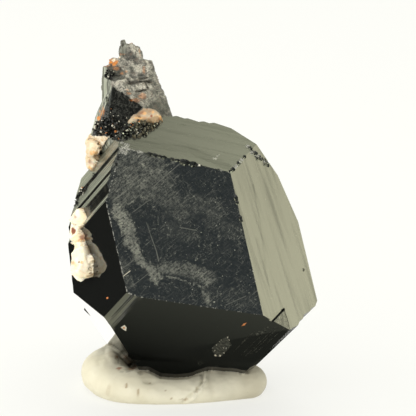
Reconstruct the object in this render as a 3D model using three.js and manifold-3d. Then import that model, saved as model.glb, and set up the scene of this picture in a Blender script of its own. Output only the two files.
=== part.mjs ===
// A stubby black schorl tourmaline with a smaller schorl grown on its upper left shoulder, three bits of
// feldspar beside and between them, and the roll of mounting putty that the specimen stands in.
// Millimetres, +Z up, the front faces -Y. Angles are in degrees.

import * as THREE from 'three';
import { ConvexGeometry } from 'three/addons/geometries/ConvexGeometry.js';
import { ImprovedNoise } from 'three/addons/math/ImprovedNoise.js';
import { mergeVertices } from 'three/addons/utils/BufferGeometryUtils.js';
import Module from 'manifold-3d';

const wasm = await Module();
wasm.setup();

// Where the three end faces of the main crystal meet, above the point under the part's middle.
// Every other place below is measured from this tip.
const TIP = [7, -21, 47.9];
const GROUND = -TIP[2];

// How the main crystal stands: its long axis leans from the vertical, towards the front and a little to the
// right, and the crystal is turned about that axis.
const LEAN = 56.3;
const HEADING = 22.1;
const SPIN = 37.1;

// The crystal's side faces in order round the long axis: azimuth and distance from the axis. A striated face
// is stepped by growth ledges: turned gives the two directions that its narrow strips take by turns, and
// ledges the width of each pair of strips beside the others.
const FINE_LEDGES = [[3, 1], [1, 1], [2, 0.6], [1.4, 1.2]];
const LEFT_LEDGES = [[3.7, 0.5], [3.2, 0.4], [1.5, 1.7], [1.5, 0.5]];
const SIDES = [
  { azimuth: 0, distance: 9.1 },
  { azimuth: 30, distance: 10.6, turned: [20, 52], ledges: FINE_LEDGES },
  { azimuth: 60, distance: 14.7, turned: [48, 84], ledges: FINE_LEDGES },
  { azimuth: 90, distance: 19.4 },
  { azimuth: 121.5, distance: 19.4, turned: [108, 150], ledges: LEFT_LEDGES },
  { azimuth: 149.7, distance: 21 },
  { azimuth: 202.8, distance: 23.7, turned: [190, 211], ledges: [[1.6, 1], [1, 1.4]] },
  { azimuth: 211.5, distance: 22.6 },
  { azimuth: 269, distance: 27.5, turned: [255, 290], ledges: FINE_LEDGES },
  { azimuth: 330.4, distance: 13.4 },
  { azimuth: 345, distance: 10.5 },
];

// The three end faces, through the tip, and the faces that close the far end: azimuth, slope from the long
// axis, and distance from the tip.
const END_FACES = [
  { azimuth: 178.7, slope: 28.2, distance: 0 },
  { azimuth: 59, slope: 26.1, distance: 0 },
  { azimuth: 299.7, slope: 27.8, distance: 0 },
];
const LEFT_BACK_FACE = { azimuth: 176.2, slope: 110.3, distance: 33 };
const BREAKS = [
  { azimuth: 119.3, slope: 126.8, distance: 34.9, roughness: 0.7 },
  { azimuth: 249, slope: 133, distance: 49.6, roughness: 0.4 },
  { azimuth: 260, slope: 115, distance: 41.4, roughness: 0.4 },
  { azimuth: 10, slope: 172, distance: 55, roughness: 1.6 },
];
const BREAK_CELL = 2.6; // size of the small facets of a broken surface
const BREAK_WAVE = 9; // distance over which a broken surface rises and falls
const CRYSTAL_REACH = 90; // more than the crystal's length, for the blocks that cut it

// Chips knocked off edges: a point on the edge, the direction in which the chip came off, and its depth
const CHIP_REACH = 6; // more than any chip's width
const CHIPS = [
  { at: [5.2, 6.6, 2.2], towards: [0.5, 0.1, 0.85], depth: 0.45 },
  { at: [9.3, -4.9, -27.2], towards: [0.35, -0.85, -0.4], depth: 0.7 },
];

const GAP = 0.3; // clear space between pieces that touch

const noise = new ImprovedNoise();
const radians = THREE.MathUtils.degToRad;

// Noise in three sizes, from about -1 to 1
function roughNoise(x, y, z) {
  let sum = 0;
  for (const [scale, share] of [[1, 0.6], [2.3, 0.3], [5.1, 0.15]]) {
    sum += share * noise.noise(x * scale, y * scale, z * scale);
  }
  return sum;
}

// A closed geometry as a solid that can be joined and cut
function solid(geometry) {
  const plain = new THREE.BufferGeometry();
  plain.setAttribute('position', geometry.getAttribute('position'));
  if (geometry.index) plain.setIndex(geometry.index);
  const merged = mergeVertices(plain, 1e-4);
  return new wasm.Manifold(new wasm.Mesh({
    numProp: 3,
    vertProperties: new Float32Array(merged.getAttribute('position').array),
    triVerts: new Uint32Array(merged.index.array),
  }));
}

// A solid as a geometry again
function geometryOf(body) {
  const { vertProperties, triVerts } = body.getMesh();
  const geometry = new THREE.BufferGeometry();
  geometry.setAttribute('position', new THREE.BufferAttribute(vertProperties, 3));
  geometry.setIndex(new THREE.BufferAttribute(triVerts, 1));
  geometry.computeVertexNormals();
  return geometry;
}

function join(bodies) {
  return bodies.reduce((all, body) => all.add(body));
}

// Outward direction of a face, from its azimuth round the long axis and its slope from that axis
function faceDirection({ azimuth, slope }) {
  return new THREE.Vector3(0, 0, 1)
    .applyAxisAngle(new THREE.Vector3(0, 1, 0), radians(slope))
    .applyAxisAngle(new THREE.Vector3(0, 0, 1), radians(azimuth));
}

// The convex solid inside a set of planes: every point where three of them meet that no other one cuts off
function insidePlanes(planes) {
  const corners = [];
  for (let i = 0; i < planes.length; i++) {
    for (let j = i + 1; j < planes.length; j++) {
      for (let k = j + 1; k < planes.length; k++) {
        const corner = meet(planes[i], planes[j], planes[k]);
        if (corner && planes.every((plane) => plane.distanceToPoint(corner) < 1e-6)) corners.push(corner);
      }
    }
  }
  return new ConvexGeometry(corners);
}

function meet(a, b, c) {
  const rows = new THREE.Matrix3().set(...a.normal, ...b.normal, ...c.normal);
  if (Math.abs(rows.determinant()) < 1e-6) return null;
  return new THREE.Vector3(-a.constant, -b.constant, -c.constant).applyMatrix3(rows.invert());
}

// A block outside a plane, whose near side is a broken surface of small facets
function roughBlock({ azimuth, slope, distance, roughness }, grow) {
  const cells = Math.round(CRYSTAL_REACH / BREAK_CELL);
  const block = new THREE.BoxGeometry(CRYSTAL_REACH, CRYSTAL_REACH, CRYSTAL_REACH, cells, cells, 1);
  const points = block.getAttribute('position');
  for (let i = 0; i < points.count; i++) {
    if (points.getZ(i) > 0) continue;
    const bump = roughNoise(points.getX(i) / BREAK_WAVE, points.getY(i) / BREAK_WAVE, azimuth);
    points.setZ(i, points.getZ(i) + roughness * bump);
  }
  block.translate(0, 0, CRYSTAL_REACH / 2 + distance + grow);
  const direction = faceDirection({ azimuth, slope });
  block.applyQuaternion(new THREE.Quaternion().setFromUnitVectors(new THREE.Vector3(0, 0, 1), direction));
  return block;
}

// Corner of the outline where two side faces meet
function outlineCorner(first, second, grow) {
  const turn = radians(second.azimuth - first.azimuth);
  const a = first.distance + grow;
  const b = second.distance + grow;
  const along = (b - a * Math.cos(turn)) / Math.sin(turn);
  const azimuth = radians(first.azimuth);
  return new THREE.Vector2(
    a * Math.cos(azimuth) - along * Math.sin(azimuth),
    a * Math.sin(azimuth) + along * Math.cos(azimuth),
  );
}

// Points of a stepped line between two corners, made of strips in two directions by turns
function ledgePoints(from, to, { turned, ledges }) {
  const ways = turned.map((azimuth) => {
    const angle = radians(azimuth);
    return new THREE.Vector2(-Math.sin(angle), Math.cos(angle));
  });
  const whole = to.clone().sub(from);
  const scale = ways[0].cross(ways[1]);
  const lengths = [whole.cross(ways[1]) / scale, ways[0].cross(whole) / scale];
  const points = [];
  const point = from.clone();
  for (const pair of ledges) {
    pair.forEach((width, i) => {
      const total = ledges.reduce((sum, other) => sum + other[i], 0);
      point.addScaledVector(ways[i], lengths[i] * width / total);
      points.push(point.clone());
    });
  }
  return points.slice(0, -1);
}

// The crystal's cross-section, looking down its long axis
function outline(grow) {
  const corners = SIDES.map((side, i) => outlineCorner(SIDES.at(i - 1), side, grow));
  const points = SIDES.flatMap((side, i) => {
    const from = corners[i];
    const to = corners[(i + 1) % SIDES.length];
    return side.ledges ? [from, ...ledgePoints(from, to, side)] : [from];
  });
  return new THREE.Shape(points);
}

// A solid from a geometry in the main crystal's own axes, turned to the standing position
function standing(geometry) {
  return solid(geometry.rotateZ(radians(SPIN)).rotateX(radians(LEAN)).rotateZ(radians(HEADING)));
}

// The main crystal, its own axes turned to the standing position; grow makes a slightly larger copy
function mainCrystal(grow) {
  const prism = new THREE.ExtrudeGeometry(outline(grow), { depth: CRYSTAL_REACH, bevelEnabled: false });
  prism.translate(0, 0, -CRYSTAL_REACH + 1);
  const faces = [...END_FACES, LEFT_BACK_FACE, { azimuth: 0, slope: 180, distance: CRYSTAL_REACH - 10 }];
  const planes = faces.map((face) => new THREE.Plane(faceDirection(face), -face.distance - grow));
  for (const azimuth of [0, 90, 180, 270]) {
    planes.push(new THREE.Plane(faceDirection({ azimuth, slope: 90 }), -CRYSTAL_REACH / 2));
  }
  let body = standing(prism).intersect(standing(insidePlanes(planes)));
  for (const face of BREAKS) body = body.subtract(standing(roughBlock(face, grow)));
  return body;
}

// The convex solid round some corner points; grow moves every face out by about that much
function hull(corners, grow = 0) {
  const points = corners.flatMap(([x, y, z]) => (grow
    ? [-grow, grow].flatMap((dx) => [-grow, grow].flatMap((dy) => [-grow, grow].map(
      (dz) => new THREE.Vector3(x + dx, y + dy, z + dz))))
    : [new THREE.Vector3(x, y, z)]));
  return solid(new ConvexGeometry(points));
}

// The smaller crystal on the shoulder is made of blocks that share one steep back, each given by its corners
// from the main tip. Its foot is flared, its body ends in a corner that points forward, and its broken top
// steps up to the left.
const SPIRE_FOOT = [
  [-22.6, 11.6, 3.7], [-18.5, 10, 6.4], [-15.9, 10.7, 9.4], [-21.4, 14.1, 12.3], [-13.3, 11.6, 7],
  [-10.2, 14, 6.2], [-12.1, 16.5, 11.2], [-23.2, 17, 9.5], [-25.6, 17, 2.4], [-24.4, 17, 6.8],
  [-25.4, 21, -2], [-22, 27.5, -7], [-14, 29, -7], [-10, 21, -2], [-10.4, 17, 4], [-20, 12, -3],
  [-12, 14, -1],
];
const SPIRE_BODY = [
  [-15.8, 10.6, 9.3], [-21.3, 14, 12.2], [-12.1, 16.4, 11.1], [-13.2, 17.5, 13.1], [-21.6, 15.5, 14.2],
  [-15, 16, 13.6], [-13.6, 20.6, 12.6], [-21.6, 20.4, 12.9], [-16.8, 22, 13.1], [-12.4, 23.4, 2],
  [-23.2, 22.6, 2], [-17.4, 26.4, 1], [-20, 14, 5], [-13, 14, 5],
];
const SPIRE_SHOULDER = [
  [-21.4, 15.6, 13.8], [-15.2, 15.4, 13.2], [-12.9, 17.2, 12.6], [-13.9, 18, 14.6], [-14.2, 18, 16.2],
  [-15.6, 18.4, 16.5], [-21.9, 17.6, 16], [-21.6, 18.2, 16.9], [-14.8, 20.6, 15.7], [-21.2, 20.2, 16.2],
  [-18.6, 21.4, 15.4], [-13.4, 22.4, 7], [-22.4, 21.8, 7], [-18.4, 24.2, 6], [-20, 15, 8], [-14, 15, 8],
];
const SPIRE_TOP = [
  [-20.6, 17.8, 15.8], [-16, 17.6, 15.8], [-15.8, 19.2, 17], [-16.6, 19.4, 18.7], [-18.8, 19, 19.1],
  [-20.1, 19.2, 18.2], [-16.6, 20.4, 18], [-19.4, 20.9, 18.1], [-21, 20.6, 12], [-15, 21.6, 12],
  [-18.6, 22.8, 10], [-20, 17, 12], [-15, 17, 12],
];
const SPIRE_PEAK = [
  [-20.2, 19.4, 17], [-18.8, 19.2, 17], [-20.1, 19.8, 19.6], [-18.9, 19.6, 19.5], [-19.3, 20.2, 19.8],
  [-20.3, 20.6, 15], [-18.4, 21.2, 15],
];
const SPIRE_FLAKE = [
  [-23.3, 17.4, 15.4], [-22, 16, 15.4], [-23.4, 17.2, 9], [-21.6, 14.4, 9.6], [-22.4, 19.6, 14.6],
  [-23.6, 21, 3], [-21.4, 18, 15], [-21, 17.4, 8],
];
const SPIRE_CRACKS = [
  { at: [-16.5, 14.7, 13], size: [3.4, 2, 0.32], tilt: 4 },
  { at: [-15.6, 15.4, 13.8], size: [1.2, 2, 0.26], tilt: -8 },
  { at: [-16.3, 13.4, 11.8], size: [1.7, 2.2, 0.28], tilt: -3 },
];
const SPIRE_BLOCKS = [SPIRE_FOOT, SPIRE_BODY, SPIRE_SHOULDER, SPIRE_TOP, SPIRE_PEAK, SPIRE_FLAKE];

function spire(grow) {
  return join(SPIRE_BLOCKS.map((corners) => hull(corners, grow)));
}

// Narrow cracks across its front
function spireCracks() {
  return join(SPIRE_CRACKS.map(({ at, size, tilt }) => {
    const slot = new THREE.BoxGeometry(...size).rotateY(radians(tilt)).translate(...at);
    return solid(slot);
  }));
}

// Small sparkling schorl crystals that cover the ledge between the two crystals, rooted in it
const DRUSE_COUNT = 40;
const DRUSE_WIDTH = 0.36;
const DRUSE_LENGTH = 3.2;
const DRUSE_SHOWS = 0.7; // how far a small crystal stands out
const DRUSE_FROM = [-22.6, 11.2, 3.6];
const DRUSE_TO = [-13.8, 8.7, 6.7];
const DRUSE_SPREAD = 0.9;

function druse() {
  return join(Array.from({ length: DRUSE_COUNT }, (_, i) => {
    const along = (i + 0.5) / DRUSE_COUNT;
    const width = DRUSE_WIDTH * (1 + 0.4 * Math.sin(7 * i));
    const needle = new THREE.CylinderGeometry(0.85 * width, width, DRUSE_LENGTH, 6, 1);
    needle.translate(0, DRUSE_SHOWS - DRUSE_LENGTH / 2, 0);
    const towards = new THREE.Vector3(0.5 * Math.sin(3.1 * i), 0.4 * Math.sin(5.3 * i) - 0.5, 1).normalize();
    needle.applyQuaternion(new THREE.Quaternion().setFromUnitVectors(new THREE.Vector3(0, 1, 0), towards));
    needle.translate(
      THREE.MathUtils.lerp(DRUSE_FROM[0], DRUSE_TO[0], along) + 0.3 * Math.sin(5 * i),
      THREE.MathUtils.lerp(DRUSE_FROM[1], DRUSE_TO[1], along) + DRUSE_SPREAD * Math.sin(2.2 * i),
      THREE.MathUtils.lerp(DRUSE_FROM[2], DRUSE_TO[2], along) + 0.25 * Math.cos(4 * i),
    );
    return solid(needle);
  }));
}

// A blocky grain with rounded corners and a rough skin, turned by angles round X, Y and Z
const GRAIN_SQUARENESS = 3.6;
const GRAIN_ROUGHNESS = 0.26;

function grain({ at, radii, turn }) {
  const ball = new THREE.IcosahedronGeometry(1, 3);
  const points = ball.getAttribute('position');
  const point = new THREE.Vector3();
  for (let i = 0; i < points.count; i++) {
    point.fromBufferAttribute(points, i);
    const square = point.toArray().reduce((sum, value) => sum + Math.abs(value) ** GRAIN_SQUARENESS, 0);
    const bump = roughNoise(point.x * 1.3 + at[0], point.y * 1.3 + at[1], point.z * 1.3 + at[2]);
    point.multiplyScalar(square ** (-1 / GRAIN_SQUARENESS) * (1 + GRAIN_ROUGHNESS * bump));
    points.setXYZ(i, ...point);
  }
  ball.scale(...radii);
  ball.rotateX(radians(turn[0])).rotateY(radians(turn[1])).rotateZ(radians(turn[2]));
  ball.translate(...at);
  return solid(ball);
}

// The three bits of feldspar, each a few grains grown together
const FLANK_GRAINS = [
  { at: [-26.7, 9.9, -19.3], radii: [2.3, 3.2, 2.9], turn: [8, 10, 6] },
  { at: [-25.3, 8.3, -18.9], radii: [1.5, 2, 2.1], turn: [-15, 24, 20] },
  { at: [-27.5, 10.8, -20.8], radii: [1.5, 2.8, 1.8], turn: [20, -14, 0] },
  { at: [-27.2, 11.8, -16.6], radii: [1.3, 2.8, 1.6], turn: [0, -18, 10] },
  { at: [-27.5, 12.2, -14.4], radii: [1.6, 2.9, 1.6], turn: [25, 10, 0] },
  { at: [-27.3, 12.8, -11.9], radii: [1.7, 2.9, 1.7], turn: [-10, 30, 5] },
];
const SHOULDER_GRAINS = [
  { at: [-24.3, 17.4, 0.5], radii: [2, 3.2, 2], turn: [10, 20, 0] },
  { at: [-24.9, 18.6, -2.7], radii: [1.4, 3, 2], turn: [-20, -10, 10] },
  { at: [-23.1, 16.9, -0.2], radii: [1.5, 2.6, 1.8], turn: [30, 5, 0] },
];
const SADDLE_GRAINS = [
  { at: [-14.4, 9.7, 7.9], radii: [2.3, 1.9, 1.2], turn: [10, -8, 0] },
  { at: [-16.8, 9.2, 7.3], radii: [1.7, 1.5, 1], turn: [-12, 20, 30] },
  { at: [-13, 10.4, 7.2], radii: [1.5, 1.5, 1.1], turn: [0, 28, -20] },
];

// The putty roll: x, y and height along its centre line on the ground, from the right end round the left to
// the back
const PUTTY_LINE = [
  [3.3, 19.6, 5.8], [-2, 17.9, 5.2], [-8, 16.5, 4.5], [-14.5, 16.1, 4.8], [-19.6, 16.9, 5.8],
  [-22.6, 20.2, 6.4], [-23.2, 25.5, 6.6], [-21.4, 31.4, 6.6], [-16.4, 35.4, 6.4], [-9.6, 36.6, 6],
];
const PUTTY_HALF_WIDTH = 4.5;
const PUTTY_SINK = 0.7; // how far the roll is pressed flat against the ground
const PUTTY_STEPS = 44;
const PUTTY_END = 0.8; // length of a rounded end beside its half width
const PUTTY_UNEVEN = 0.1; // how much the height of the roll varies

function puttyRoll() {
  const line = new THREE.CatmullRomCurve3(PUTTY_LINE.map((point) => new THREE.Vector3(...point)));
  const length = line.getLength();
  const roll = new THREE.CapsuleGeometry(PUTTY_HALF_WIDTH, length, 6, 20, PUTTY_STEPS);
  const points = roll.getAttribute('position');
  const up = new THREE.Vector3(0, 0, 1);
  for (let i = 0; i < points.count; i++) {
    const along = points.getY(i) / length + 0.5;
    const held = THREE.MathUtils.clamp(along, 0, 1);
    const ahead = line.getTangentAt(held).setZ(0).normalize();
    const point = line.getPointAt(held);
    const height = point.z * (1 + PUTTY_UNEVEN * noise.noise(point.x / 5, point.y / 5, 4));
    point.addScaledVector(ahead, (along - held) * length * PUTTY_END);
    point.addScaledVector(ahead.clone().cross(up), points.getX(i));
    const rise = points.getZ(i) / PUTTY_HALF_WIDTH;
    point.z = GROUND + (height - PUTTY_SINK + rise * (height + PUTTY_SINK)) / 2;
    points.setXYZ(i, ...point);
  }
  return solid(roll);
}

// The putty squeezed out under the crystal, inside the roll
const PUTTY_BED = { at: [-8.6, 26.6, GROUND + 0.6], radii: [13.5, 10, 4.6] };

function puttyBed() {
  return solid(new THREE.SphereGeometry(1, 28, 14).scale(...PUTTY_BED.radii).translate(...PUTTY_BED.at));
}

// Everything above the ground
function aboveGround(body) {
  const block = new THREE.BoxGeometry(CRYSTAL_REACH, 2 * CRYSTAL_REACH, CRYSTAL_REACH);
  block.translate(0, 0, GROUND + CRYSTAL_REACH / 2);
  return body.intersect(solid(block));
}

function chip({ at, towards, depth }) {
  const direction = new THREE.Vector3(...towards).normalize();
  const block = new THREE.BoxGeometry(CHIP_REACH, CHIP_REACH, CHIP_REACH);
  block.translate(0, 0, CHIP_REACH / 2 - depth);
  block.applyQuaternion(new THREE.Quaternion().setFromUnitVectors(new THREE.Vector3(0, 0, 1), direction));
  block.translate(...at);
  return solid(block);
}

const FINISHES = {
  schorl: { color: 0x14171a, roughness: 0.22, metalness: 0 },
  feldspar: { color: 0xefdcbc, roughness: 0.6, metalness: 0 },
  putty: { color: 0xd0c8ab, roughness: 0.8, metalness: 0 },
};

const group = new THREE.Group();
group.position.set(...TIP);

function addPiece(name, body, finish) {
  const piece = new THREE.Mesh(geometryOf(body), new THREE.MeshStandardMaterial(FINISHES[finish]));
  piece.name = name;
  group.add(piece);
}

let schorl = mainCrystal(0);
for (const place of CHIPS) schorl = schorl.subtract(chip(place));
schorl = join([schorl, spire(0).subtract(spireCracks()), druse()]);
const cleared = join([mainCrystal(GAP), spire(GAP), druse()]);

addPiece('schorl_crystals', schorl, 'schorl');
addPiece('feldspar_flank', join(FLANK_GRAINS.map(grain)).subtract(cleared), 'feldspar');
addPiece('feldspar_shoulder', join(SHOULDER_GRAINS.map(grain)).subtract(cleared), 'feldspar');
addPiece('feldspar_saddle', join(SADDLE_GRAINS.map(grain)).subtract(cleared), 'feldspar');
addPiece('mounting_putty', aboveGround(join([puttyRoll(), puttyBed()])).subtract(cleared), 'putty');

export default group;
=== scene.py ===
# %% [markdown]
# # A schorl tourmaline on its roll of putty
# This lesson dresses a imported model of a mineral specimen: a stubby black tourmaline, a smaller crystal on
# its shoulder, grains of feldspar and the putty that it stands in. The solids give the places and sizes.
# Blender gives what a collector looks at: striations, frosted and polished faces, chips, stains and dents.
# The frame is the imported solids in Blender. Their meshes stay as they are, and each one that a new piece
# replaces in the picture is hidden.

# %% Load the frame
import math
import random

import bmesh
import bpy
from mathutils import Matrix, Vector, geometry, noise
from mathutils.bvhtree import BVHTree


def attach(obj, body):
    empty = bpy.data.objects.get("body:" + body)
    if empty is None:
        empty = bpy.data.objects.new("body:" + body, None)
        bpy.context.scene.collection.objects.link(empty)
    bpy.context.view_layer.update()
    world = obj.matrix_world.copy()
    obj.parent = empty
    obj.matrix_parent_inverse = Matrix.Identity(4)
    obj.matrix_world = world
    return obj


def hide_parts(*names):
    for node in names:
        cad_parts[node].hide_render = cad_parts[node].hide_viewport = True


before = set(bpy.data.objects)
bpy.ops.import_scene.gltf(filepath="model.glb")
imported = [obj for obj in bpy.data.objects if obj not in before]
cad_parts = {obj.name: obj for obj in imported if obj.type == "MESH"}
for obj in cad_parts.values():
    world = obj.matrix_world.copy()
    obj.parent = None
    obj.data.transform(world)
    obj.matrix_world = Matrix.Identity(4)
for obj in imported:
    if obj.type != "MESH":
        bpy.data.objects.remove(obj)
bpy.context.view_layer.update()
print("nodes:", sorted(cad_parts))

# %% [markdown]
# ## The camera comes first
# The picture that guides this work was taken with a long lens, a little from above. Marks could be placed
# by trial. Instead the camera is set first: a spot seen in the picture then gives a ray, and where the ray
# meets a face is the spot's place on the object. So small marks go where they are seen, and still sit on
# the surface from every side. Modelling is done in millimetres, and every finished mesh is scaled to
# metres.

# %% Camera and the ray through a spot of the picture
MM = 0.001
TIP = Vector((7, -21, 47.9))           # where the three end faces meet
PHOTO_SIZE = 416                       # pixels
PHOTO_MIDDLE = PHOTO_SIZE / 2
TIP_IN_PHOTO = (230.27, 172.2)
FOCAL_PIXELS = 5000
CAMERA_DISTANCE = 900                  # millimetres
CAMERA_RISE = math.radians(15)
SENSOR = 36
FAR = 20                               # metres

RIGHT = Vector((1, 0, 0))
AHEAD = Vector((0, math.cos(CAMERA_RISE), -math.sin(CAMERA_RISE)))
UP = RIGHT.cross(AHEAD)
PIXEL_AT_TIP = CAMERA_DISTANCE / FOCAL_PIXELS
eye = TIP - AHEAD * CAMERA_DISTANCE
eye -= RIGHT * (TIP_IN_PHOTO[0] - PHOTO_MIDDLE) * PIXEL_AT_TIP
eye -= UP * (PHOTO_MIDDLE - TIP_IN_PHOTO[1]) * PIXEL_AT_TIP

camera = bpy.data.objects.new("camera", bpy.data.cameras.new("camera"))
camera.data.sensor_width = SENSOR
camera.data.lens = SENSOR * FOCAL_PIXELS / PHOTO_SIZE
camera.data.clip_end = FAR
camera.location = eye * MM
camera.rotation_euler = (math.pi / 2 - CAMERA_RISE, 0, 0)
bpy.context.scene.collection.objects.link(camera)
bpy.context.scene.camera = camera


def sight(x, y):
    """Direction from the camera through a spot of the picture."""
    across, down = x - PHOTO_MIDDLE, y - PHOTO_MIDDLE
    return (AHEAD * FOCAL_PIXELS + RIGHT * across - UP * down).normalized()


def in_photo(point):
    """Where a point of the object is seen in the picture."""
    away = point - eye
    depth = away.dot(AHEAD)
    return (PHOTO_MIDDLE + FOCAL_PIXELS * away.dot(RIGHT) / depth,
            PHOTO_MIDDLE - FOCAL_PIXELS * away.dot(UP) / depth)


print("camera at", [round(value, 1) for value in eye], "mm, the tip is seen at", in_photo(TIP))

# %% [markdown]
# ## Tools for meshes
# The crystal has flat faces, so its mesh comes from bmesh operators: an outline is extruded, and
# bisect_plane takes off what a face leaves out. Chips are carved with the Boolean modifier, which keeps
# flat faces flat. Rough skins start from a voxel remesh instead, whose even grid of points can then be
# moved by noise.

# %% Objects and modifiers
def mesh_object(name, bm, materials):
    """A linked object from a bmesh, still in millimetres."""
    mesh = bpy.data.meshes.new(name)
    bm.to_mesh(mesh)
    bm.free()
    made = bpy.data.objects.new(name, mesh)
    for material in materials:
        mesh.materials.append(material)
    bpy.context.scene.collection.objects.link(made)
    return made


def applied(made):
    """Replaces an object's mesh by what its modifiers make of it."""
    graph = bpy.context.evaluated_depsgraph_get()
    mesh = bpy.data.meshes.new_from_object(made.evaluated_get(graph))
    made.modifiers.clear()
    made.data = mesh
    return made


def carve(body, cutter):
    """Cuts a body with another object, whose finish goes to the new faces."""
    modifier = body.modifiers.new("carve", "BOOLEAN")
    modifier.object = cutter
    modifier.operation = "DIFFERENCE"
    modifier.solver = "EXACT"
    modifier.use_self = True
    modifier.material_mode = "TRANSFER"
    applied(body)
    bpy.data.objects.remove(cutter)


def remeshed(made, voxel):
    """Gives an object an even skin of small squares, of a size in millimetres."""
    modifier = made.modifiers.new("grid", "REMESH")
    modifier.mode = "VOXEL"
    modifier.voxel_size = voxel
    return applied(made)


def copy_of_node(node, name, materials):
    """A merged copy of a node of the frame, in millimetres."""
    bm = bmesh.new()
    bm.from_mesh(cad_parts[node].data)
    bmesh.ops.scale(bm, vec=(1 / MM,) * 3, verts=bm.verts)
    bmesh.ops.remove_doubles(bm, verts=bm.verts, dist=0.001)
    return mesh_object(name, bm, materials)


def smooth_shaded(made):
    for face in made.data.polygons:
        face.use_smooth = True


def to_metres(made):
    made.data.transform(Matrix.Scale(MM, 4))
    print(made.name, len(made.data.polygons), "faces")


# %% [markdown]
# ### Picking parts of a mesh, and finding its surface
# A bmesh operator returns vertices, edges and faces in one list, so the vertices are picked out of it. A
# BVHTree holds a mesh's triangles and finds at once where a ray meets them.

# %% Parts of a mesh, and rays
def verts_among(geom):
    """The vertices among the parts that an operator returns."""
    return [one for one in geom if isinstance(one, bmesh.types.BMVert)]


def faces_round(verts):
    """Every face that has one of the vertices."""
    return list({face for vert in verts for face in vert.link_faces})


def set_finish(verts, finishes, material, smooth=False):
    """Gives the faces round some vertices a finish out of a list."""
    for face in faces_round(verts):
        face.material_index = finishes.index(material)
        face.smooth = smooth


def tree_of(made):
    """The search tree of an object's surface."""
    bm = bmesh.new()
    bm.from_mesh(made.data)
    tree = BVHTree.FromBMesh(bm)
    bm.free()
    return tree


def hit(trees, x, y):
    """The nearest surface seen at a spot of the picture: place and outward normal."""
    found = [tree.ray_cast(eye, sight(x, y)) for tree in trees]
    found = [one for one in found if one[0] is not None]
    if not found:
        return None, None
    place, normal, _, _ = min(found, key=lambda one: one[3])
    return place, normal


print("mesh tools are ready for", len(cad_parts), "nodes")

# %% [markdown]
# ## Tools for finishes
# Every finish starts from the Principled shader. An image could hold the pattern, but it would need an
# unwrapped mesh. So the patterns are noise that reads Object coordinates. A Mapping node of the Texture
# kind turns them into a crystal's or a face's own axes, in millimetres, and a noise stretched in those axes
# gives striations, hatching or soft streaks in one direction.

# %% Material tools
def finish(name, color, roughness, **values):
    """A new material with its shader's plain values set."""
    material = bpy.data.materials.new(name)
    material.use_nodes = True
    shader = material.node_tree.nodes["Principled BSDF"]
    shader.inputs["Base Color"].default_value = (*color, 1)
    shader.inputs["Roughness"].default_value = roughness
    for key, value in values.items():
        shader.inputs[key.replace("_", " ")].default_value = value
    return material, material.node_tree, shader


def add(tree, kind, inputs=None, **settings):
    """A node with its settings, and its inputs set or linked."""
    made = tree.nodes.new(kind)
    for key, value in settings.items():
        setattr(made, key, value)
    for key, value in (inputs or {}).items():
        if isinstance(value, bpy.types.NodeSocket):
            tree.links.new(value, made.inputs[key])
        else:
            made.inputs[key].default_value = value
    return made


def own_axes(tree, turn, stretch=(1, 1, 1), origin=TIP):
    """Object coordinates in millimetres along the columns of turn, each divided by its stretch."""
    coordinates = add(tree, "ShaderNodeTexCoord").outputs["Object"]
    mapping = add(tree, "ShaderNodeMapping", {"Vector": coordinates}, vector_type="TEXTURE")
    mapping.inputs["Location"].default_value = origin * MM
    mapping.inputs["Rotation"].default_value = turn.to_euler()
    mapping.inputs["Scale"].default_value = [MM * value for value in stretch]
    return mapping.outputs["Vector"]


def plain_axes(tree):
    """The object's own axes in millimetres, from the object's own origin."""
    return own_axes(tree, Matrix.Identity(3), origin=Vector((0, 0, 0)))


def cloud(tree, vector, scale, detail=3, roughness=0.5, distortion=0):
    inputs = {"Vector": vector, "Scale": scale, "Detail": detail, "Roughness": roughness,
              "Distortion": distortion}
    return add(tree, "ShaderNodeTexNoise", inputs).outputs["Fac"]


def between(tree, value, low, high, to_low=0, to_high=1):
    """Maps low..high to to_low..to_high and holds the ends."""
    inputs = {"Value": value, "From Min": low, "From Max": high, "To Min": to_low, "To Max": to_high}
    return add(tree, "ShaderNodeMapRange", inputs).outputs["Result"]


def maths(tree, operation, a, b=0, clamp=False):
    return add(tree, "ShaderNodeMath", {0: a, 1: b}, operation=operation, use_clamp=clamp).outputs[0]


def both(tree, a, b):
    """The product of two values."""
    return maths(tree, "MULTIPLY", a, b)


def mixed_heights(tree, coarse, share, fine):
    """One height from a share of a coarse pattern and the rest of a fine one."""
    return maths(tree, "ADD", both(tree, coarse, share), both(tree, fine, 1 - share))


# %% [markdown]
# ### Colours, relief and links
# A Mix node blends two colours by a pattern. A Bump node turns a pattern into small hollows, which only
# bend the light. That is enough for lines thinner than a hair, while all that shows in the outline is real
# mesh.

# %% Colours and relief
def blend_colors(tree, share, a, b):
    """From colour a to colour b, where each is a value or a socket."""
    mix = add(tree, "ShaderNodeMix", {"Factor": share}, data_type="RGBA")
    for socket, value in (("A", a), ("B", b)):
        sockets = [one for one in mix.inputs if one.name == socket and one.type == "RGBA"]
        if isinstance(value, bpy.types.NodeSocket):
            tree.links.new(value, sockets[0])
        else:
            sockets[0].default_value = (*value, 1)
    return [one for one in mix.outputs if one.type == "RGBA"][0]


def stored_parts(tree, name):
    """The red, green and blue parts of a colour stored on the mesh."""
    color = add(tree, "ShaderNodeAttribute", attribute_name=name).outputs["Color"]
    return add(tree, "ShaderNodeSeparateColor", {"Color": color}).outputs


def relief(tree, height, strength, depth, below=None):
    """A bump of a depth in millimetres, on top of another one."""
    inputs = {"Height": height, "Strength": strength, "Distance": depth * MM}
    if below is not None:
        inputs["Normal"] = below
    return add(tree, "ShaderNodeBump", inputs).outputs["Normal"]


def wire(tree, shader, **links):
    """Links patterns to a shader's inputs of the same names."""
    for key, value in links.items():
        tree.links.new(value, shader.inputs[key.replace("_", " ")])


print("finish tools are ready")

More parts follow.
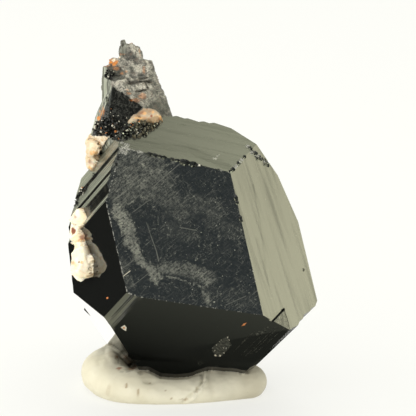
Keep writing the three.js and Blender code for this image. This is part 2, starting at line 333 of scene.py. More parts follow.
# %% [markdown]
# ## The main crystal's faces
# Schorl grows as a prism closed by three end faces. Its corners could be listed as points, but then flat
# faces would soon bend. So a face is an azimuth round the long axis, a slope from that axis and a distance
# from the tip. These are the values that the solid was made from, but the ledges of the left striated side
# are a little finer here.

# %% Faces of the main crystal
LEAN = 56.3                             # degrees, as the crystal leans in the putty
HEADING = 22.1
SPIN = 37.1


def about(axis, degrees):
    return Matrix.Rotation(math.radians(degrees), 3, axis)


CRYSTAL = about("Z", HEADING) @ about("X", LEAN) @ about("Z", SPIN)
STAND = Matrix.Translation(TIP) @ CRYSTAL.to_4x4()     # from the crystal's own axes to how it stands
FINE_LEDGES = [(3, 1), (1, 1), (2, 0.6), (1.4, 1.2)]             # widths of the strips facing each way
LEFT_LEDGES = [(4, 0.35), (3.5, 0.35), (1.65, 1.15), (1.5, 0.4)]
SIDES = {  # azimuth and distance, and for a striated side the azimuths of its two kinds of strip
    "back": (0, 9.1), "back striated": (30, 10.6, (20, 52), FINE_LEDGES),
    "top striated": (60, 14.7, (48, 84), FINE_LEDGES), "left top": (90, 19.4),
    "left striated": (121.5, 19.4, (113, 150), LEFT_LEDGES), "left polished": (149.7, 21),
    "left foot": (202.8, 23.7, (190, 211), [(1.6, 1), (1, 1.4)]), "underside": (211.5, 22.6),
    "right striated": (269, 27.5, (255, 290), FINE_LEDGES), "right back": (330.4, 13.4),
    "right narrow": (345, 10.5),
}
ENDS = {"front": (178.7, 28.2, 0), "top": (59, 26.1, 0), "right": (299.7, 27.8, 0)}
LEFT_BACK = (176.2, 110.3, 33)
BREAKS = [(119.3, 126.8, 34.9), (249, 133, 49.6), (260, 115, 41.4), (10, 172, 55)]
print(len(SIDES), "sides,", len(ENDS), "end faces and", len(BREAKS), "breaks")


# %% [markdown]
# ### Where a face lies
# Three numbers of a face give its plane: a point and an outward direction. The ray through a spot of the
# picture meets that plane in one point, and the line where two planes meet is an edge. With these the
# script never needs a corner's coordinates.

# %% Planes, spots on them and their edges
def facing(azimuth, slope=90):
    """Outward direction of a face, in the crystal's own axes."""
    flat = math.sin(math.radians(slope))
    turn = math.radians(azimuth)
    return Vector((flat * math.cos(turn), flat * math.sin(turn), math.cos(math.radians(slope))))


def plane_of(name):
    """A point and the outward normal of a named face, as the crystal stands."""
    if name in ENDS:
        azimuth, slope, distance = ENDS[name]
    else:
        azimuth, distance = SIDES[name][:2]
        slope = 90
    direction = CRYSTAL @ facing(azimuth, slope)
    return TIP + direction * distance, direction


def on_face(name, x, y):
    """Where a spot of the picture lies on a named face."""
    place, normal = plane_of(name)
    return geometry.intersect_line_plane(eye, eye + sight(x, y), place, normal)


def on_edge(first, second, x, y):
    """The point of the edge between two faces that a spot of the picture is nearest to."""
    place_a, normal_a = plane_of(first)
    place_b, normal_b = plane_of(second)
    start, way = geometry.intersect_plane_plane(place_a, normal_a, place_b, normal_b)
    return geometry.intersect_line_line(start, start + way, eye, eye + sight(x, y))[0]


def face_axes(name, x0, y0, x1, y1):
    """Axes on a face: along the line between two spots of the picture, across it, and outward."""
    _, normal = plane_of(name)
    along = (on_face(name, x1, y1) - on_face(name, x0, y0)).normalized()
    across = normal.cross(along)
    return Matrix((along, across, normal)).transposed()


for name in ENDS:
    print(name, "faces", [round(value, 2) for value in plane_of(name)[1]])

# %% [markdown]
# ## Finishes of schorl
# All of it is one black mineral with a refractive index of 1.64, and the faces differ in how they grew and
# wore. So the black finishes start from the same shader values and differ in their fine relief and in how
# frosted they are. Only the shaded bands of the left side will also mirror less. The striated sides come
# first: a noise sixty times longer than wide gives lines along the crystal.

# %% Finish of the striated sides
BLACK = (0.0065, 0.007, 0.006)
FROST = (0.27, 0.27, 0.205)
SCHORL_IOR = 1.64
STRETCH = 60                            # how much longer than wide a stria is


def schorl(name, roughness):
    return finish(name, BLACK, roughness, IOR=SCHORL_IOR)


def striae(tree, axes):
    """Two sizes of fine lines along the crystal, as one height."""
    return mixed_heights(tree, cloud(tree, axes, 1.1, 2, 0.55), 0.7, cloud(tree, axes, 4.5, 3, 0.6))


striated, tree, shader = schorl("schorl_striated", 0.16)
height = striae(tree, own_axes(tree, CRYSTAL, (1, 1, STRETCH)))
dust = between(tree, cloud(tree, own_axes(tree, CRYSTAL), 0.35, 4, 0.6), 0.5, 0.75, 0, 0.35)
wire(tree, shader,
     Base_Color=blend_colors(tree, dust, BLACK, (0.09, 0.085, 0.06)),
     Roughness=between(tree, height, 0.3, 0.7, 0.1, 0.3),
     Normal=relief(tree, height, 0.3, 0.04))
print("finish of the striated sides made")


# %% [markdown]
# ### Strokes
# Frosted patches, scratches and streaks are seen as strokes with two ends. They could be painted on a mesh
# with very many points. A few nodes do it on any mesh: they measure how far a place is from the line
# between the two ends, and where that is less than the half width the stroke is there.

# %% Strokes
FADE_START = 0.75                       # shares of a stroke's half width
FADE_END = 1.35


def vector_maths(tree, operation, inputs):
    return add(tree, "ShaderNodeVectorMath", inputs, operation=operation).outputs


def stroke(tree, place, start, end, half_width, strength):
    """How strongly a place lies on the stroke between two points, from 0 to strength."""
    length = (end - start).length
    way = (end - start) / length
    from_start = vector_maths(tree, "SUBTRACT", {0: place, 1: start})["Vector"]
    along = vector_maths(tree, "DOT_PRODUCT", {0: from_start, 1: way})["Value"]
    held = add(tree, "ShaderNodeClamp", {"Value": along, "Min": 0, "Max": length}).outputs[0]
    foot = vector_maths(tree, "SCALE", {0: way, "Scale": held})["Vector"]
    apart = vector_maths(tree, "DISTANCE", {0: from_start, 1: foot})["Value"]
    return between(tree, apart, half_width * FADE_END, half_width * FADE_START, 0, strength)


def strongest(tree, values):
    """The highest of several values."""
    result = values[0]
    for value in values[1:]:
        result = maths(tree, "MAXIMUM", result, value)
    return result


def strokes_on(tree, place, face, rows):
    """The strongest of several strokes between spots seen on a face, with half widths in pixels."""
    made = []
    for start, end, half_width, strength in rows:
        ends = on_face(face, *start), on_face(face, *end)
        made.append(stroke(tree, place, *ends, half_width * PIXEL_AT_TIP, strength))
    return strongest(tree, made)


print("strokes fade out between", FADE_START, "and", FADE_END, "of their half width")

# %% [markdown]
# ### The two left faces and the underside
# The polished left face is a nearly perfect mirror with a slow ripple and a few dull specks. The underside
# is almost as smooth, with faint lines along the crystal. The striated left side gets its material here,
# and its nodes once the mesh is there to place them on.

# %% Finishes of the left faces and of the underside
left_side, left_tree, left_shader = schorl("schorl_left", 0.3)
polished, tree, shader = schorl("schorl_polished", 0.06)
ripple = cloud(tree, own_axes(tree, CRYSTAL, (1, 1, 8)), 0.6, 2)
specks = cloud(tree, own_axes(tree, CRYSTAL), 3.5, 2)
wire(tree, shader,
     Roughness=between(tree, specks, 0.55, 0.8, 0.05, 0.16),
     Normal=relief(tree, ripple, 0.05, 0.05))
underside, tree, shader = schorl("schorl_underside", 0.12)
faint = cloud(tree, own_axes(tree, CRYSTAL, (1, 1, 30)), 0.9, 4, 0.55)
wire(tree, shader,
     Roughness=between(tree, faint, 0.35, 0.7, 0.05, 0.12),
     Normal=relief(tree, faint, 0.1, 0.05))
print("made", polished.name, "and", underside.name)

# %% [markdown]
# ### Broken, crushed and clouded spots
# Where schorl breaks it is glassy and uneven, where it was hit it is crushed to a pale powder, and rubbed
# spots are clouded. Each is one material with coarse noise in its relief, and the carving will hand it to
# the faces that each chip leaves.

# %% Finishes of broken, crushed and clouded spots
broken, tree, shader = schorl("schorl_broken", 0.22)
axes = own_axes(tree, CRYSTAL)
hackle = cloud(tree, axes, 1.3, 6, 0.62, 0.4)
haze = between(tree, cloud(tree, axes, 0.5, 5, 0.6), 0.5, 0.72, 0, 0.5)
wire(tree, shader,
     Base_Color=blend_colors(tree, haze, BLACK, (0.06, 0.055, 0.042)),
     Roughness=between(tree, hackle, 0.3, 0.7, 0.14, 0.42),
     Normal=relief(tree, hackle, 0.5, 0.25))

crushed, tree, shader = finish("schorl_crushed", (0.3, 0.29, 0.24), 0.55, IOR=SCHORL_IOR)
grit = cloud(tree, own_axes(tree, CRYSTAL), 5, 3, 0.6)
powder = between(tree, grit, 0.38, 0.62)
wire(tree, shader,
     Base_Color=blend_colors(tree, powder, (0.05, 0.05, 0.042), (0.42, 0.41, 0.35)),
     Normal=relief(tree, grit, 0.6, 0.12))

clouded, tree, shader = schorl("schorl_clouded", 0.2)
axes = own_axes(tree, CRYSTAL)
rubbed = between(tree, cloud(tree, axes, 2.2, 4, 0.7), 0.4, 0.65)
wire(tree, shader,
     Base_Color=blend_colors(tree, rubbed, (0.015, 0.015, 0.012), (0.09, 0.09, 0.07)),
     Normal=relief(tree, cloud(tree, axes, 2.4, 3, 0.6), 0.5, 0.15))
print("made", broken.name, crushed.name, "and", clouded.name)


# %% [markdown]
# ### Crumbs of rust and of pale dust
# Small crumbs of other minerals sit on the faces. Two materials are enough for them, each a slow change
# between two tones of its colour.

# %% Finishes of crumbs
def crumb(name, color, dark, light):
    """A dull grain whose colour wavers between two tones."""
    material, tree, shader = finish(name, color, 0.6)
    waver = cloud(tree, own_axes(tree, CRYSTAL), 4, 2)
    wire(tree, shader, Base_Color=blend_colors(tree, waver, dark, light))
    return material


rust = crumb("rust_speck", (0.5, 0.16, 0.035), (0.28, 0.07, 0.02), (0.75, 0.3, 0.08))
pale_speck = crumb("pale_speck", (0.6, 0.56, 0.44), (0.36, 0.32, 0.24), (0.8, 0.76, 0.62))
print("made", rust.name, "and", pale_speck.name)

# %% [markdown]
# ## The hatched front face
# The front face isn't mirror-smooth: etching has left fine lines that run from lower left to upper right,
# hairs in other directions, and frosted patches. Each patch is a few strokes between spots seen on the
# face, and a scratch is one narrow stroke. The spots are listed first.

# %% Patches and scratches of the front face
PATCHES = [  # from, to, half width in pixels, strength
    ((118, 210), (127, 225), 6.6, 1), ((127, 225), (131, 241), 6, 1), ((133, 240), (138, 256), 4, 1),
    ((139, 260), (150, 267), 3.4, 0.8), ((150, 267), (155.5, 278), 4.6, 0.9),
    ((163, 268), (188, 269), 6, 0.5),
    ((188, 271), (208, 278), 6.4, 0.5), ((160, 276), (177, 279), 1.2, 0.9), ((177, 279), (204, 288), 1, 0.9),
    ((203, 288), (208, 303), 2.6, 0.5), ((144, 163), (156, 175), 4, 0.75), ((127, 180), (141, 186), 5, 0.7),
    ((122, 149), (131, 150), 3.6, 0.9), ((124, 163), (150, 160), 13, 0.38),
    ((122, 190), (160, 182), 14, 0.36),
    ((145, 180), (159, 171), 1.8, 0.6), ((159, 171), (176, 160), 1.8, 0.6),
    ((130, 166), (138, 158), 1.5, 0.5),
    ((120, 262), (130, 284), 5, 0.25), ((165, 196), (182, 214), 9, 0.24), ((190, 203), (216, 210), 9, 0.2),
    ((212, 222), (236, 232), 7, 0.14), ((212, 296), (252, 300), 9, 0.07), ((168, 230), (190, 236), 8, 0.12),
]
SCRATCHES = [  # from, to, strength
    ((114, 200), (126, 191.3), 0.45), ((180, 227.5), (196.5, 230.4), 0.25),
    ((146.6, 222.8), (151, 236), 0.16),
    ((151, 236), (156.4, 251), 0.26), ((156.4, 251), (158.6, 261), 0.34), ((154, 186), (170, 172), 0.3),
    ((133, 212), (151, 199), 0.2), ((123, 268), (139, 256), 0.24), ((131, 287), (149, 273), 0.2),
    ((165, 176), (182, 162), 0.24), ((176, 184), (166, 170), 0.18), ((226, 305), (246, 296), 0.2),
]
SCRATCH_HALF_WIDTH = 0.07               # millimetres
print(len(PATCHES), "patches and", len(SCRATCHES), "scratches")

# %% [markdown]
# ### Where the front face is frosted
# Straight strokes would look drawn with a ruler. So the place is first bent by up to a millimetre or so
# with a coloured noise, whose three channels push it in three directions. Scratches stay straight.

# %% Frosted patches and scratches
FRONT_BLACK = (0.004, 0.0065, 0.0085)
BEND = 3                                # millimetres, for the noise's whole range
front, tree, shader = schorl("schorl_front", 0.3)
flat = plain_axes(tree)
bend = add(tree, "ShaderNodeTexNoise", {"Vector": flat, "Scale": 0.9, "Detail": 6, "Roughness": 0.65})
bend = vector_maths(tree, "SUBTRACT", {0: bend.outputs["Color"], 1: (0.5, 0.5, 0.5)})["Vector"]
bend = vector_maths(tree, "SCALE", {0: bend, "Scale": BEND})["Vector"]
bent = vector_maths(tree, "ADD", {0: flat, 1: bend})["Vector"]
frosted = strokes_on(tree, bent, "front", PATCHES)
scratches = [(start, end, SCRATCH_HALF_WIDTH / PIXEL_AT_TIP, strength) for start, end, strength in SCRATCHES]
scratches = strokes_on(tree, flat, "front", scratches)
print("strokes of the front face placed")

# %% [markdown]
# ### The hatching of the front face
# Three stretched noises run in three directions of the face: hatching, hairs and cross hairs. Their ridges
# are the fine lines. Slow noises say where there are more or fewer of them, and the patches are frosted
# most. All of it becomes one value, white, that sets the colour and the roughness together, as a real
# etched spot does.

# %% Lines of the front face
hatch_axes = face_axes("front", 130, 270, 170, 238)
hatch = cloud(tree, own_axes(tree, hatch_axes, (7, 1, 1)), 4.2, 4, 0.72, 0.7)
hairs_axes = face_axes("front", 200, 300, 190, 180)
hairs = cloud(tree, own_axes(tree, hairs_axes, (4.5, 1, 1)), 3.4, 4, 0.72, 1.4)
cross_axes = face_axes("front", 150, 180, 200, 215)
cross = cloud(tree, own_axes(tree, cross_axes, (4, 1, 1)), 3.8, 4, 0.72, 1.2)
mottle = cloud(tree, flat, 0.32, 5, 0.7, 0.5)
islands = cloud(tree, flat, 1.3, 4, 0.65, 0.6)
grain = cloud(tree, flat, 3.4, 5, 0.78, 0.5)
hatch_lines = between(tree, hatch, 0.55, 0.7)
hair_lines = between(tree, maths(tree, "MAXIMUM", hairs, cross), 0.56, 0.72, 0, 0.95)
marks = maths(tree, "MAXIMUM", hatch_lines, hair_lines)
share = maths(tree, "ADD", between(tree, mottle, 0.38, 0.62, 0.04, 0.5), both(tree, frosted, 0.5))
share = both(tree, share, between(tree, islands, 0.36, 0.62, 0.25, 1.1))
texture = both(tree, between(tree, grain, 0.4, 0.6, 0.15, 1.1), between(tree, islands, 0.36, 0.6, 0.35, 1.15))
texture = both(tree, texture, between(tree, hatch, 0.42, 0.62, 0.5, 1.4))
specks = between(tree, cloud(tree, flat, 3.1, 1), 0.74, 0.78)

white = both(tree, marks, share)
white = maths(tree, "ADD", white, both(tree, both(tree, frosted, texture), 0.72))
white = maths(tree, "MAXIMUM", white, scratches)
white = maths(tree, "ADD", white, specks, clamp=True)
wire(tree, shader,
     Base_Color=blend_colors(tree, white, FRONT_BLACK, FROST),
     Roughness=between(tree, white, 0, 0.6, 0.2, 0.55),
     Normal=relief(tree, marks, 0.5, 0.04, relief(tree, hatch, 0.5, 0.04)))
print("made", front.name)

# %% [markdown]
# ## The two satin end faces
# The top and right end faces are smoother. They carry soft growth streaks that run beside the front face,
# which show as slightly darker bands in a wide reflection. A stretched noise gives the fine ones, and
# strokes give those that are seen one by one. A dark streak is rougher, because it mirrors less of the
# bright surroundings.

# %% Finish of the top and right end faces
VEIL = (0.05, 0.05, 0.04)


def satin(name, face, way, base, streak_scale, dark_streaks):
    """A smooth face with soft streaks along a line seen in the picture."""
    material, tree, shader = schorl(name, base)
    axes = face_axes(face, *way)
    fine = cloud(tree, own_axes(tree, axes, (26, 1, 1)), streak_scale, 5, 0.6, 0.3)
    broad = cloud(tree, own_axes(tree, axes, (9, 1, 1)), streak_scale * 0.35, 3, 0.5)
    height = mixed_heights(tree, fine, 0.6, broad)
    streaks = strokes_on(tree, plain_axes(tree), face, dark_streaks)
    broken_up = both(tree, streaks, between(tree, fine, 0.4, 0.6, 0.1, 1))
    dark = maths(tree, "MAXIMUM", between(tree, height, 0.47, 0.62, 0, 0.7), broken_up)
    dust = between(tree, cloud(tree, plain_axes(tree), 3.4, 2), 0.7, 0.78, 0, 0.5)
    # Painted shade: a dark streak's colour goes from the grey veil to black, because its reflection is
    # darker.
    color = blend_colors(tree, dust, blend_colors(tree, dark, VEIL, BLACK), FROST)
    wire(tree, shader, Base_Color=color,
         Roughness=between(tree, dark, 0, 1, base, base + 0.22),
         Normal=relief(tree, height, 0.3, 0.04))
    return material


top_finish = satin("schorl_top", "top", (150, 150, 210, 164), 0.2, 1,
                   [((138, 143), (190, 150), 5.5, 1), ((190, 150), (226, 166), 5.5, 1),
                    ((160, 136), (206, 150), 1.4, 0.5), ((172, 126), (184, 125.5), 2, 0.8),
                    ((152, 139), (176, 138), 1.2, 0.4)])
right_finish = satin("schorl_right", "right", (240, 190, 275, 300), 0.2, 1,
                     [((253, 185), (260, 222), 1.3, 1), ((260, 222), (266, 268), 1.3, 0.8),
                      ((263, 262), (268, 285), 2, 1), ((257, 240), (262, 262), 2.2, 0.6),
                      ((268, 285), (271, 296), 1, 0.8), ((248, 180), (252, 200), 1.4, 0.5),
                      ((292, 225), (297, 245), 1.2, 0.5)])
print("made", top_finish.name, "and", right_finish.name)

# %% [markdown]
# ## The outline and its striations
# A striated side is a flight of narrow strips in two directions by turns. The outline goes round the
# crystal's cross-section, takes the wide ledges from the solid, and breaks each of them into finer steps of
# its own.

# %% Outline of the main crystal
STRIAE = {"left striated": (1.3, 1.7)}   # width in millimetres and tilt in degrees, where they differ
USUAL_STRIAE = (0.34, 5.5)
draws = random.Random(11)


def crossed(a, b):
    return a.x * b.y - a.y * b.x


def flight(start, end, turned, widths):
    """The inner points of a stepped line whose strips face two directions by turns."""
    ways = [Vector((-math.sin(math.radians(turn)), math.cos(math.radians(turn)))) for turn in turned]
    whole = end - start
    scale = crossed(ways[0], ways[1])
    lengths = (crossed(whole, ways[1]) / scale, crossed(ways[0], whole) / scale)
    totals = [sum(pair[i] for pair in widths) for i in (0, 1)]
    points = [start]
    for pair in widths:
        for way, length, width, total in zip(ways, lengths, pair, totals):
            points.append(points[-1] + way * length * width / total)
    return points[1:-1]


def finer(points, stria_width, tilt):
    """Breaks each strip between two points into striae."""
    result = []
    for start, end in zip(points, points[1:]):
        way = end - start
        count = int(way.length / stria_width)
        result.append(start)
        if count > 1:
            turn = math.degrees(math.atan2(-way.x, way.y))
            widths = [(draws.uniform(0.3, 1.6), draws.uniform(0.2, 1.2)) for _ in range(count)]
            result += flight(start, end, (turn - tilt, turn + tilt), widths)
    return result


def outline():
    """The cross-section's points, in the crystal's own axes."""
    sides = list(SIDES.values())
    corners = []
    for before, side in zip([sides[-1]] + sides, sides):
        turn = math.radians(side[0] - before[0])
        along = (side[1] - before[1] * math.cos(turn)) / math.sin(turn)
        out = facing(before[0]).xy
        corners.append(out * before[1] + Vector((-out.y, out.x)) * along)
    points = []
    for name, side, start, end in zip(SIDES, sides, corners, corners[1:] + corners[:1]):
        if len(side) > 2:
            steps = [start] + flight(start, end, *side[2:]) + [end]
            points += finer(steps, *STRIAE.get(name, USUAL_STRIAE))
        else:
            points.append(start)
    return points


print("outline of", len(outline()), "points")

# %% [markdown]
# ### The prism and its end faces
# A convex hull of the corners would be shorter to write. But a prism that is cut by planes keeps every
# stria straight, right up to the edge of each end face, as it grows in nature.

# %% Prism and planes
FINISHES = [striated, front, top_finish, right_finish, polished, underside, broken, left_side]
END_FINISHES = [front, top_finish, right_finish]
PRISM_LENGTH = 80
BREAK_ROOM = 1.2                        # left outside a break's plane, for its rough surface


def cut_off(bm, facet, material, room=0):
    """Takes off what lies outside a face's plane, closes the cut and gives it a finish."""
    azimuth, slope, distance = facet
    normal = facing(azimuth, slope)
    place = normal * (distance + room)
    everything = bm.verts[:] + bm.edges[:] + bm.faces[:]
    cut = bmesh.ops.bisect_plane(bm, geom=everything, dist=1e-5, plane_co=place, plane_no=normal,
                                 clear_outer=True)
    rim = [one for one in cut["geom_cut"] if isinstance(one, bmesh.types.BMEdge)]
    for face in bmesh.ops.contextual_create(bm, geom=rim)["faces"]:
        face.material_index = FINISHES.index(material)


bm = bmesh.new()
rim = [bm.verts.new((point.x, point.y, 1)) for point in outline()]
lid = bm.faces.new(rim)
walls = bmesh.ops.extrude_face_region(bm, geom=[lid])["geom"]
bmesh.ops.translate(bm, vec=(0, 0, -PRISM_LENGTH), verts=verts_among(walls))
bmesh.ops.recalc_face_normals(bm, faces=bm.faces)
for facet, material in zip(ENDS.values(), END_FINISHES):
    cut_off(bm, facet, material)
cut_off(bm, LEFT_BACK, polished)
for facet in BREAKS:
    cut_off(bm, facet, broken, BREAK_ROOM)
bmesh.ops.transform(bm, matrix=STAND, verts=bm.verts)
bm.normal_update()
print("prism cut,", len(bm.faces), "faces")

# %% [markdown]
# ### Which side has which finish
# Counting faces wouldn't last, because any change to the outline renumbers them. So each face is compared
# with the planes of the sides: it belongs to a side when it faces the same way and lies in the same plane.

# %% Finishes of the sides
SIDE_FINISHES = [  # side, its finish, how parallel a face is to it, how near in millimetres
    ("left striated", left_side, 0.93, 1.5), ("left polished", polished, 0.9998, 0.05),
    ("underside", underside, 0.9998, 0.05),
]


def lies_on(face, name, parallel, near):
    """Whether a face belongs to a side of the prism."""
    place, normal = plane_of(name)
    apart = abs((face.calc_center_median() - place).dot(normal))
    return face.normal.dot(normal) > parallel and apart < near


for name, material, parallel, near in SIDE_FINISHES:
    for face in bm.faces:
        if face.material_index == FINISHES.index(striated) and lies_on(face, name, parallel, near):
            face.material_index = FINISHES.index(material)
main = mesh_object("schorl_main", bm, FINISHES)
print("main crystal:", len(main.data.polygons), "faces")

# %% [markdown]
# ## Breaks, chips and small marks
# The far end is broken off, and the sharp edges have lost many small flakes. Carving them one by one would
# take a Boolean each. So every one is a shape in one cutter: a rough block for a break, a lumpy ball for a
# flake, and a thin outline for a mark that only scratches the surface. One Boolean then hands each shape's
# finish to the faces that it leaves. The broken end comes first, a grid of points that noise moves up and
# down.

# %% Blocks for the breaks
CUTTER_FINISHES = [broken, crushed, rust, pale_speck, polished, clouded]
BREAK_ROUGHNESS = [0.7, 0.4, 0.4, 1.6]  # millimetres up and down
BREAK_HALF = 30
BREAK_CELLS = 56
BREAK_WAVE = 9
BREAK_GRAIN = 3
BREAK_HEIGHT = 12


def rough(place, size):
    """Noise in several sizes, from about -1 to 1."""
    return noise.fractal(place / size, 0.9, 2.2, 4, noise_basis="PERLIN_ORIGINAL")


def break_block(bm, facet, roughness):
    """A block outside a plane, with a broken near side."""
    azimuth, slope, distance = facet
    grid = bmesh.ops.create_grid(bm, x_segments=BREAK_CELLS, y_segments=BREAK_CELLS, size=BREAK_HALF)["verts"]
    for vert in grid:
        fine = rough(Vector((vert.co.x, vert.co.y, azimuth * 2)), BREAK_GRAIN)
        vert.co.z = roughness * (rough(Vector((vert.co.x, vert.co.y, azimuth)), BREAK_WAVE) + 0.2 * fine)
    block = bmesh.ops.extrude_face_region(bm, geom=faces_round(grid))["geom"]
    top = verts_among(block)
    for vert in top:
        vert.co.z = BREAK_HEIGHT
    direction = facing(azimuth, slope)
    turn = direction.to_track_quat("Z", "Y").to_matrix().to_4x4()
    bmesh.ops.transform(bm, matrix=STAND @ Matrix.Translation(direction * distance) @ turn, verts=grid + top)
    set_finish(grid + top, CUTTER_FINISHES, broken, smooth=True)


bm = bmesh.new()
for facet, roughness in zip(BREAKS, BREAK_ROUGHNESS):
    break_block(bm, facet, roughness)
print(len(BREAKS), "blocks for the breaks")


# %% [markdown]
# ### Flakes off the edges
# An edge between two faces is where a knock leaves its flakes. Each row of the list is a stretch of an
# edge. A ball that reaches halfway into it leaves a hollow like a real shell-shaped flake.

# %% Flakes
def flake(bm, place, radius, material, detail=2):
    """A lumpy ball, turned at random."""
    ball = bmesh.ops.create_icosphere(bm, subdivisions=detail, radius=1)["verts"]
    seed = Vector((draws.uniform(-50, 50),) * 3)
    for vert in ball:
        vert.co *= 1 + 0.22 * noise.noise(vert.co * 1.6 + seed)
    turn = Matrix.Rotation(draws.uniform(0, 6.28), 4, Vector((draws.gauss(0, 1), draws.gauss(0, 1), 1)))
    sizes = Matrix.Diagonal((radius, radius, radius, 1))
    bmesh.ops.transform(bm, matrix=Matrix.Translation(place) @ turn @ sizes, verts=ball)
    set_finish(ball, CUTTER_FINISHES, material, smooth=True)


def nick_edge(bm, first, second, start, end, count, radii, bite, finishes):
    """Flakes along the edge between two faces, seen from one spot of the picture to another."""
    outward = (plane_of(first)[1] + plane_of(second)[1]).normalized()
    a, b = on_edge(first, second, *start), on_edge(first, second, *end)
    for _ in range(count):
        radius = draws.uniform(*radii)
        place = a.lerp(b, draws.random()) + outward * radius * (1 - bite * draws.uniform(0.5, 1.2))
        flake(bm, place, radius, draws.choice(finishes), detail=1 if radius < FINE_FLAKE else 2)


FINE_FLAKE = 0.3                        # a smaller flake needs fewer points
NICKS = [  # the two faces, from, to, number, radii, bite, finishes
    ("front", "top", (149, 152), (166, 157), 15, (0.25, 0.65), 0.75, (polished, polished, broken)),
    ("front", "top", (172, 159), (179, 161.5), 8, (0.25, 0.6), 0.75, (polished, polished, broken)),
    ("front", "top", (182, 162), (196, 165), 15, (0.35, 0.85), 0.75, (polished, polished, broken)),
    ("front", "top", (148, 152), (198, 166), 30, (0.15, 0.35), 0.4, (crushed, crushed, polished)),
    ("front", "top", (121, 146), (148, 152), 26, (0.2, 0.5), 0.4, (crushed, crushed, broken)),
    ("front", "top", (196, 166), (199, 167), 5, (0.25, 0.5), 0.6, (pale_speck, crushed)),
    ("front", "top", (200, 166), (229, 172), 12, (0.15, 0.35), 0.4, (broken, crushed)),
    ("top", "right", (231, 173), (236, 169), 6, (0.35, 0.7), 0.7, (polished, broken)),
    ("top", "right", (236, 168), (250, 158), 24, (0.25, 0.7), 0.6, (polished, broken, crushed, crushed)),
    ("front", "right", (233, 196), (235, 203), 4, (0.5, 0.8), 0.7, (polished,)),
    ("front", "right", (239, 217), (240, 221), 3, (0.4, 0.6), 0.6, (polished,)),
    ("front", "right", (246, 250), (261, 309), 14, (0.12, 0.3), 0.4, (broken, crushed)),
    ("front", "left striated", (120, 148), (107, 202), 30, (0.07, 0.2), 0.35,
     (crushed, crushed, crushed, broken)),
    ("front", "left striated", (118, 156), (115, 166), 5, (0.2, 0.35), 0.4, (polished, broken)),
    ("front", "left polished", (106, 205), (127, 292), 60, (0.12, 0.36), 0.4, (crushed,)),
    ("front", "underside", (146, 298), (262, 315), 40, (0.07, 0.24), 0.4, (crushed, crushed, broken)),
    ("front", "underside", (200, 306), (222, 311), 9, (0.12, 0.26), 0.4, (crushed,)),
    ("front", "left foot", (128, 294), (143, 297), 8, (0.1, 0.3), 0.4, (crushed,)),
]
for one in NICKS:
    nick_edge(bm, *one)
print("flakes along", len(NICKS), "stretches of edges")

# %% [markdown]
# ### Two battered places
# The corner at the upper left and the small facet at the upper right are chipped all over. Here the flakes
# are strewn over an area of the picture, and each lands where its ray meets the crystal.

# %% Flakes on two places
main_tree = tree_of(main)
for _ in range(26):                     # the battered corner at the upper left
    place, normal = hit([main_tree], draws.uniform(120.5, 128), draws.uniform(142.5, 154))
    if place is not None:
        flake(bm, place + normal * draws.uniform(0.1, 0.25), draws.uniform(0.2, 0.42), crushed)
for _ in range(60):                     # the chipped facet at the upper right
    share = draws.random()
    x, y = 247 + 21 * share, 145 + 19 * share
    place, normal = hit([main_tree], x + draws.uniform(-2.2, 1.2), y + draws.uniform(-1.2, 2.2))
    if place is not None:
        radius = draws.uniform(0.2, 0.6)
        place = place + normal * radius * draws.uniform(0.3, 0.8)
        flake(bm, place, radius, draws.choice((polished, polished, broken, crushed)))
print("cutters so far:", len(bm.faces), "faces")


# %% [markdown]
# ### Shallow marks
# Stains, rubbed spots and scratches have an outline but hardly any depth. Each is drawn as a few spots of
# the picture on a face and sunk by a tenth of a millimetre or less.

# %% Shallow marks
def engrave(bm, face_name, spots, depth, material):
    """A shallow cut of the outline seen through spots of the picture."""
    _, normal = plane_of(face_name)
    lid = [bm.verts.new(on_face(face_name, *spot) + normal * ABOVE) for spot in spots]
    cap = bm.faces.new(lid)
    cap.normal_update()
    if cap.normal.dot(normal) < 0:
        cap.normal_flip()
    low = verts_among(bmesh.ops.extrude_face_region(bm, geom=[cap])["geom"])
    bmesh.ops.translate(bm, vec=normal * -(ABOVE + depth), verts=low)
    bmesh.ops.recalc_face_normals(bm, faces=faces_round(lid + low))
    set_finish(lid + low, CUTTER_FINISHES, material)


def disc(x, y, radius, corners=9, ragged=0.2):
    """Spots round a spot of the picture."""
    spots = []
    for i in range(corners):
        reach = radius * (1 + ragged * draws.uniform(-1, 1))
        turn = 2 * math.pi * i / corners
        spots.append((x + reach * math.cos(turn), y + reach * math.sin(turn)))
    return spots


ABOVE = 0.2                             # how far a mark's cutter stands out of its face
GLASSY_CUT = [(270, 320.6), (272, 316), (284.2, 307.5), (285.2, 309.6), (273, 322.4)]
BROKEN_CUT = [(272.6, 322.4), (276, 318), (284.6, 309.4), (286, 315), (287.4, 318), (289.9, 329), (281, 326)]
RUBS = ((262, 333), (259, 331.4), (257.4, 334), (265, 330), (268, 328))
RUBBED_LINES = ((241, 355, 268, 328), (244, 357, 276, 326), (250, 354, 281, 325), (233, 352, 255, 330),
                (236, 349, 250, 334), (255, 353, 284, 328))
engrave(bm, "right", GLASSY_CUT, 0.5, polished)
engrave(bm, "right", BROKEN_CUT, 0.05, broken)
for x, y in RUBS:
    engrave(bm, "underside", disc(x, y, draws.uniform(0.8, 1.8), 7, 0.4), 0.06, clouded)
for x0, y0, x1, y1 in RUBBED_LINES:
    spots = [(x0, y0), (x1, y1), (x1 + 0.3, y1 + 0.5), (x0 + 0.5, y0 + 0.4)]
    engrave(bm, "underside", spots, 0.08, clouded)
print(len(RUBS), "rubbed spots and", len(RUBBED_LINES), "lines on the underside")

# %% [markdown]
# ### The scar of the underside
# Something once grew against the underside and came off. It left a clouded patch with bright crumbs on its
# rim, some of them strayed inside. Drawing each crumb by hand would take a long list, so they are strewn
# along the patch's outline.

